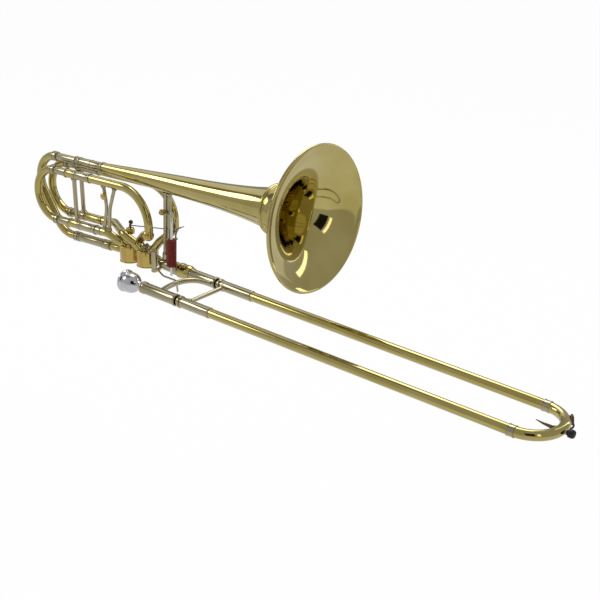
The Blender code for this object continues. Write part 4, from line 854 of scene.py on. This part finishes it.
# %% Valves
DRUM_R, DRUM_BOTTOM = 19.75, -14.5
CAP_R, CAP_BOTTOM = 20.5, -16.5
DRUM_X = {"rear": 3.0, "front": 45.0}
KNOB_X = 4.5
for name, x in DRUM_X.items():
    at = (x, 0, 0)
    casing = solid([(0, DRUM_BOTTOM), (DRUM_R, DRUM_BOTTOM), (DRUM_R, 12.6), (DRUM_R - 0.6, 13.8),
                    (DRUM_R - 1.8, DRUM_TOP), (0, DRUM_TOP)], at, sides=96)
    seat = solid([(0, 13.4), (4.4, 13.4), (4.4, 15.6), (3.4, 16.4), (2.0, 16.4), (0, 16.4)], at)
    stand_in(f"{name}_valve_casing", [casing, seat], tipped)
    cap = solid([(0, CAP_BOTTOM), (18.6, CAP_BOTTOM), (CAP_R, -15.9), (CAP_R, -15.0), (19.8, -14.6),
                 (0, -14.6)], at, sides=96)
    stand_in(f"{name}_valve_cap", [cap], tipped)
finial = [bar(1.5, (KNOB_X, 0, 44), (7, 0, 55), 20), orb(4.0, (7, 0, 56))]
piece("rear_spindle_ball", finial, tipped, "rear_rotor", "dark_bronze")
knob = solid([(0, 34), (5.6, 34), (8.0, 35.5), (8.2, 41), (6.6, 45), (0, 46.4)], (KNOB_X, 0, 0),
             UP, 48, SOFT)
piece("rear_spindle_knob", [knob], tipped, "rear_rotor", "amber_brass")
piece("elbow_ball", [orb(10.2, (72.0, -WRAP_Y, 50.5), 48)], tipped, "near_front_tube", "amber_brass")
print("two drums,", 2 * DRUM_R, "mm across")

# %% [markdown]
# Two slim posts brace the near wrap. Each is bent at its waist like wire and has a flared
# foot at both ends, and a thumb screw sits on one of them. A bent bar and two turned feet
# make each post.

# %% Braces of the near wrap
BRACE_LOW, BRACE_WAIST, BRACE_HIGH = 40.6, 82, 121.4
BRACE_WIRE_R, BRACE_BEND = 3.2, 60
BRACES = {"rear": (-38, -28.4, -34), "front": (-26, -20.6, -6)}
FOOT = [(0, 0), (5.4, 0), (5.0, 2.0), (3.8, 4.0), (3.2, 6.6), (0, 6.6)]
for name, (foot_x, waist_x, head_x) in BRACES.items():
    low, high = (foot_x, -WRAP_Y, BRACE_LOW), (head_x, -WRAP_Y, BRACE_HIGH)
    waist = (waist_x, -WRAP_Y, BRACE_WAIST)
    feet = [solid(FOOT, end, np.subtract(waist, end), ease=0.6) for end in (low, high)]
    wire = rod([low, corner(waist, BRACE_BEND), high], BRACE_WIRE_R)
    stand_in(f"mid_brace_{name}", [wire, *feet], tipped)
screw = solid([(0, 0), (3.4, 0), (3.4, 2.2), (6.2, 3.4), (6.2, 6.8), (4.2, 8.4), (0, 8.8)],
              (-26.5, -WRAP_Y - 3.4, 105), OUTWARD, 40, 0.5)
stand_in("mid_brace_screw", [screw], tipped)
print(len(BRACES), "bent posts")

# %% [markdown]
# The left hand carries the whole instrument. It closes round two upright nickel tubes that
# join the bell to the slide, with its palm against a leather-covered grip, its thumb on one
# lever and its second finger on the other. The grip's rod slides in a clamp, whose screw
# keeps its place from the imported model.

# %% Hand brace and rest
UPRIGHT_R = 3.75
GRIP_X, GRIP_Y = 32.5, -19.0
REST_ROD_R, REST_ROD_BOTTOM, REST_ROD_TOP = 2.3, -6.0, 111.4


def upright(x, foot_r):
    """One of the hand brace's tubes, from its foot on the receiver to its head on the bell."""
    profile = [(0, 10.7), (foot_r, 10.7), (foot_r, 21), (3.9, 24), (UPRIGHT_R, 26), (UPRIGHT_R, 126),
               (4.2, 129), (5.6, 131.2), (5.8, 134.6), (0, 134.6)]
    return solid(profile, (x, 0, 0), UP, 40, SOFT)


stand_in("hand_brace", [upright(0.0, 5.4), upright(9.6, 4.2)], level)
screw_low, screw_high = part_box("rest_clamp_screw")
screw_at = (np.array(screw_low) + np.array(screw_high)) / 2 / MM + (2.5, -1.5, 0)
stand_in("rest_clamp_screw", [orb(5.4, screw_at, 40)], level)
rest_rod = bar(REST_ROD_R, (GRIP_X, GRIP_Y, REST_ROD_BOTTOM), (GRIP_X, GRIP_Y, REST_ROD_TOP), 32, SOFT)
stand_in("rest_rod", [rest_rod], level)
grip_profile = flowing([(2.2, 12.0), (6.8, 11.6), (8.5, 12.9), (8.8, 16), (8.8, 30), (8.8, 44), (8.8, 56),
                        (8.5, 58.8), (6.8, 60), (2.2, 59.7)], 6)
grip = lathe(grip_profile, (GRIP_X, GRIP_Y, 0), UP, 64, 0)
stand_in("hand_rest_grip", [grip], level, sharp=60)
print("leather grip", round(2 * grip_profile[:, 0].max(), 1), "mm across")

# %% [markdown]
# Each lever is a bent bar that turns on a hinge and pulls its valve round by a link. The
# thumb lever ends in a small round paddle; the finger lever turns on a tall barrel with a
# bead at each end, and hooks down to where the second finger rests.

# %% Levers
THUMB = np.array([15.0, 9.0, 49.0])
FINGER = np.array([-11.5, -16.5, 9.0])
THUMB_BAR_R, FINGER_BAR_R, LINK_ARM_R, LINK_ARM = 1.4, 1.7, 1.9, 12.0
LINK_ARM_HEADING = math.radians(-108)
PADDLE_FACES = (-0.5, 0, 0.866)

thumb_bar = rod([THUMB + (0.3, 0, 1.8), corner(THUMB + (3, 0, 19), 10), THUMB + (11, 0, 24)], THUMB_BAR_R)
paddle = solid([(0, -1), (5.4, -1), (6.5, 0), (5.4, 1.1), (0, 0.7)], THUMB + (13, 0, 25),
               PADDLE_FACES, 40, 0.5)
thumb_hinge = bar(2.6, THUMB - (0, 3.4, 0), THUMB + (0, 3.4, 0))
stand_in("thumb_lever", [thumb_bar, paddle, thumb_hinge], level)

half = [(0, 18.5), (5.3, 18.5), (5.3, 15.6), (4.9, 15)]
finger_hinge = solid([(radius, -height) for radius, height in half] + half[::-1], FINGER, UP, 48)
finger_bar = rod([FINGER + (3, 0, -15.3), corner(FINGER + (8, 0.5, -15.6), 5),
                  corner(FINGER + (18, 4, -25.5), 9), corner(FINGER + (45, 9, -28), 6),
                  FINGER + (48, 9, -47.2)], FINGER_BAR_R, (0, 1, 0), 24)
link_start = FINGER + (0, 0, 18.6)
link_way = np.array([math.cos(LINK_ARM_HEADING), math.sin(LINK_ARM_HEADING), 0])
link_arm = bar(LINK_ARM_R, link_start, link_start + LINK_ARM * link_way, 24, SOFT)
stand_in("finger_lever", [finger_hinge, finger_bar, link_arm], level)
print("thumb lever turns at", THUMB, "and finger lever at", FINGER)

# %% [markdown]
# The studio starts with its floor: a wide sheet of white paper. It looks white to the eye, to
# mirrors and to glass, but lights the object only as plain paper would. A floor that simply
# glowed would be easier, but it would light the tubes from below and wash them out.

# %% Floor
FLOOR_DROP, FLOOR_HALF, FLOOR_WHITE = 0.30, 40, 0.96


def shown(name, points, faces, material):
    """A plain mesh in the scene that belongs to the stage."""
    mesh = bpy.data.meshes.new(name)
    mesh.from_pydata(points, [], faces)
    mesh.materials.append(material)
    obj = bpy.data.objects.new(name, mesh)
    bpy.context.scene.collection.objects.link(obj)
    obj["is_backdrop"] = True
    return obj


def seen_directly(owner):
    """1 for rays from the camera, mirrors and glass, and 0 for the light that falls on things."""
    path = add(owner, "ShaderNodeLightPath")
    eye_or_mirror = add(owner, "ShaderNodeMath", {"operation": "MAXIMUM"},
                        {0: path.outputs["Is Camera Ray"], 1: path.outputs["Is Glossy Ray"]})
    any_of_three = add(owner, "ShaderNodeMath", {"operation": "MAXIMUM"},
                       {0: eye_or_mirror.outputs[0], 1: path.outputs["Is Transmission Ray"]})
    return any_of_three.outputs[0]


def white_paper():
    """Matt paper, nearly plain white to the eye, that keeps a trace of the object's shadow."""
    material, _ = blank("white_paper", {"Base Color": linear("#F4F4F4"), "Roughness": 0.9})
    plain = material.node_tree.nodes["Principled BSDF"].outputs[0]
    share = add(material, "ShaderNodeMath", {"operation": "MULTIPLY", 1: FLOOR_WHITE},
                {0: seen_directly(material)})
    glow = add(material, "ShaderNodeEmission", {"Color": grey(1.0), "Strength": 1.0})
    mix = add(material, "ShaderNodeMixShader", None, {0: share.outputs[0], 1: plain, 2: glow.outputs[0]})
    wire_up(material, mix.outputs[0], "Surface", "Material Output")
    return material


floor_z = cad_box[0][2] - FLOOR_DROP
floor_corners = [(x * FLOOR_HALF, y * FLOOR_HALF, floor_z) for x, y in ((-1, -1), (1, -1), (1, 1), (-1, 1))]
floor = shown("floor", floor_corners, [(0, 1, 2, 3)], white_paper())
floor.visible_glossy = False
print("floor", FLOOR_DROP, "m below the object")

# %% [markdown]
# Polished metal is only as good as what it reflects. Lamps alone would leave bright spots on
# black, so a glowing drum with a ramp of greys closes round the object and paints its
# reflections. It shows in reflections and nowhere else. The ramp runs round the drum, and the
# greys in front paint the reflection of a plain floor and wall, because the bell's mouth looks
# that way.

# %% Surround
# Angle round the object (0 in front, 90 overhead, 180 behind, -90 below) and the glow there,
# which paints the reflections: its dark and bright bands paint dark and bright lines on the tubes.
SURROUND = [(-180, 0.46), (-150, 0.50), (-90, 0.74), (-40, 0.60), (-3, 0.56), (0, 0.42), (58, 0.44),
            (66, 0.20), (86, 0.20), (94, 0.74), (140, 0.74), (150, 0.32), (174, 0.26), (180, 0.30)]
# Painted reflections of a floor and a wall in front, seen only in mirrors.
PAINTED_FLOOR_REFLECTION, PAINTED_WALL_REFLECTION = 0.66, 0.40
FLOOR_LINE, WALL_LINE, FRONT_START, FRONT_FULL = -0.40, -0.32, -0.5, -0.2
SURROUND_R, SURROUND_HALF, SURROUND_SIDES = 2.9, 3.2, 96


def only_in_mirrors(obj):
    """Hides an object from every kind of ray but reflections."""
    for kind in ("camera", "diffuse", "shadow", "transmission"):
        setattr(obj, "visible_" + kind, False)


def surround_glow():
    """Painted reflections that mirrors see: a ramp over the angle about X, and a floor and wall in front."""
    material, place = blank("surround_glow")
    axes = add(material, "ShaderNodeSeparateXYZ", None, {"Vector": place}).outputs
    front = add(material, "ShaderNodeMath", {"operation": "MULTIPLY", 1: -1.0}, {0: axes["Y"]})
    angle = add(material, "ShaderNodeMath", {"operation": "ARCTAN2"}, {0: axes["Z"], 1: front.outputs[0]})
    share = add(material, "ShaderNodeMapRange", {"From Min": -math.pi, "From Max": math.pi},
                {"Value": angle.outputs[0]})
    around = add(material, "ShaderNodeValToRGB", None, {"Fac": share.outputs["Result"]},
                 [((degrees + 180) / 360, grey(shade)) for degrees, shade in SURROUND])
    height = add(material, "ShaderNodeMapRange", {"From Min": FLOOR_LINE, "From Max": WALL_LINE},
                 {"Value": axes["Z"]})
    ahead = add(material, "ShaderNodeValToRGB", None, {"Fac": height.outputs["Result"]},
                [(0, grey(PAINTED_FLOOR_REFLECTION)), (1, grey(PAINTED_WALL_REFLECTION))])
    blend = add(material, "ShaderNodeMapRange", {"From Min": FRONT_START, "From Max": FRONT_FULL},
                {"Value": axes["X"]})
    mix = add(material, "ShaderNodeMix", {"data_type": "RGBA"},
              {0: blend.outputs["Result"], 6: around.outputs["Color"], 7: ahead.outputs["Color"]})
    glow = add(material, "ShaderNodeEmission", {"Strength": 1.0}, {"Color": mix.outputs[2]})
    wire_up(material, glow.outputs[0], "Surface", "Material Output")
    return material


def surround(radius, half, sides):
    """A drum about X, open to the camera and closed to mirrors: the circle is r cos t, r sin t."""
    t = np.arange(sides) * 2 * math.pi / sides
    ring = np.stack([np.zeros(sides), radius * np.cos(t), radius * np.sin(t)], axis=1)
    points = np.concatenate([ring - (half, 0, 0), ring + (half, 0, 0)])
    step = np.arange(sides)
    after = (step + 1) % sides
    walls = np.stack([step, after, after + sides, step + sides], axis=1).tolist()
    ends = [list(range(sides)), list(range(sides, 2 * sides))]
    only_in_mirrors(shown("surround", points.tolist(), walls + ends, surround_glow()))


surround(SURROUND_R, SURROUND_HALF, SURROUND_SIDES)
print("surround with", len(SURROUND), "greys")

# %% [markdown]
# A tube looks round because a dark line and a bright line run along it, and studios hang cards
# near the eye for that. Here a dark card near the eye paints a dark reflection, and a narrow
# bright one beside it paints a highlight; each is one glowing rectangle that only mirrors see.

# %% Mirror cards
EYE_ASIDE, EYE_OVER = np.array([0.776, 0.629, 0.039]), np.array([-0.282, 0.292, 0.914])
CARD_PLACE = np.array([1.68, -1.74, 1.0])


def mirror_card(name, across, up, wide, tall, shade):
    """A flat glowing card near the camera that paints a reflection, seen only in mirrors; across and up slide it
    in its plane.
    """
    middle = CARD_PLACE + EYE_ASIDE * across + EYE_OVER * up
    aside, over = EYE_ASIDE * wide / 2, EYE_OVER * tall / 2
    corners = [middle - aside - over, middle + aside - over, middle + aside + over, middle - aside + over]
    material, _ = blank(name)
    glow = add(material, "ShaderNodeEmission", {"Color": grey(shade), "Strength": 1.0})
    wire_up(material, glow.outputs[0], "Surface", "Material Output")
    only_in_mirrors(shown(name, corners, [(0, 1, 2, 3)], material))


# Painted dark reflection: a near-black card that only mirrors see.
mirror_card("painted_dark_reflection", 0.1, 0.1, 1.0, 1.6, 0.01)
# Painted highlight: a glowing card, which is no lamp, that only mirrors see.
mirror_card("painted_highlight_card", 1.0, 0.1, 0.35, 1.5, 1.8)
print("two cards")

# %% [markdown]
# The sky is a middling grey for the light that it gives and white where it is seen. Four
# soft boxes do the rest: one behind and one at the side make the long highlights, a narrow
# window draws a second line, and a fill from the front shows in no reflection.

# %% Sky and lamps
SKY_LIGHT = 0.62
CENTRE = (0.1, 0, 0.1)

sky = bpy.data.worlds.new("studio")
sky.use_nodes = True
tone = add(sky, "ShaderNodeMix", {"data_type": "RGBA", 6: grey(SKY_LIGHT), 7: grey(1.0)},
           {0: seen_directly(sky)})
wire_up(sky, tone.outputs[2], "Color", "Background")
bpy.context.scene.world = sky


def lamp(name, at, size, watts):
    """A soft box: a rectangle that faces the object's middle."""
    data = bpy.data.lights.new(name, "AREA")
    data.shape = "RECTANGLE"
    data.size, data.size_y = size
    data.energy = watts
    obj = bpy.data.objects.new(name, data)
    obj.location = at
    obj.rotation_euler = (Vector(CENTRE) - Vector(at)).to_track_quat("-Z", "Y").to_euler()
    bpy.context.scene.collection.objects.link(obj)
    return obj


lamp("key_behind", (-0.25, 0.94, 1.77), (1.2, 1.3), 12)
lamp("key_side", (-2.3, -1.23, 1.58), (1.3, 0.85), 13)
fill = lamp("fill", (-0.2, -2.4, 1.4), (1.6, 1.2), 12)
fill.visible_glossy = False
lamp("window", (1.03, 1.58, 0.90), (0.25, 1.6), 2.4)
print("four lamps")

# %% [markdown]
# The camera stands ahead of the bell, on the mouthpiece's side, and looks down at the whole
# instrument. Its matrix is built from three directions: to its right, down, and ahead.

# %% Camera
CAMERA_AT = Vector((1.5759, -1.6264, 0.9393))
RIGHT = Vector((0.77627, 0.62922, 0.03860))
DOWN = Vector((0.28249, -0.29247, -0.91360))
AHEAD = Vector((-0.56356, 0.72010, -0.40478))
SENSOR, LENS = 36.0, 83.29
view = bpy.data.cameras.new("camera")
view.sensor_width = SENSOR
view.lens = LENS
camera = bpy.data.objects.new("camera", view)
axes = Matrix((RIGHT, -DOWN, -AHEAD)).transposed().to_4x4()
camera.matrix_world = Matrix.Translation(CAMERA_AT) @ axes
bpy.context.scene.collection.objects.link(camera)
bpy.context.scene.camera = camera
bpy.context.scene.view_settings.view_transform = "Standard"
print("lens", LENS, "mm")

# %% [markdown]
# The fine model's box and the imported model's box are both worked out, and their largest
# difference is printed. The fine model has to stay inside the imported model's box.

# %% Sizes, and the end
fine_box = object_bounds()
largest = max(abs(a - b) for c, d in zip(cad_box, fine_box) for a, b in zip(c, d))
print("largest difference", round(largest / MM, 2), "mm")
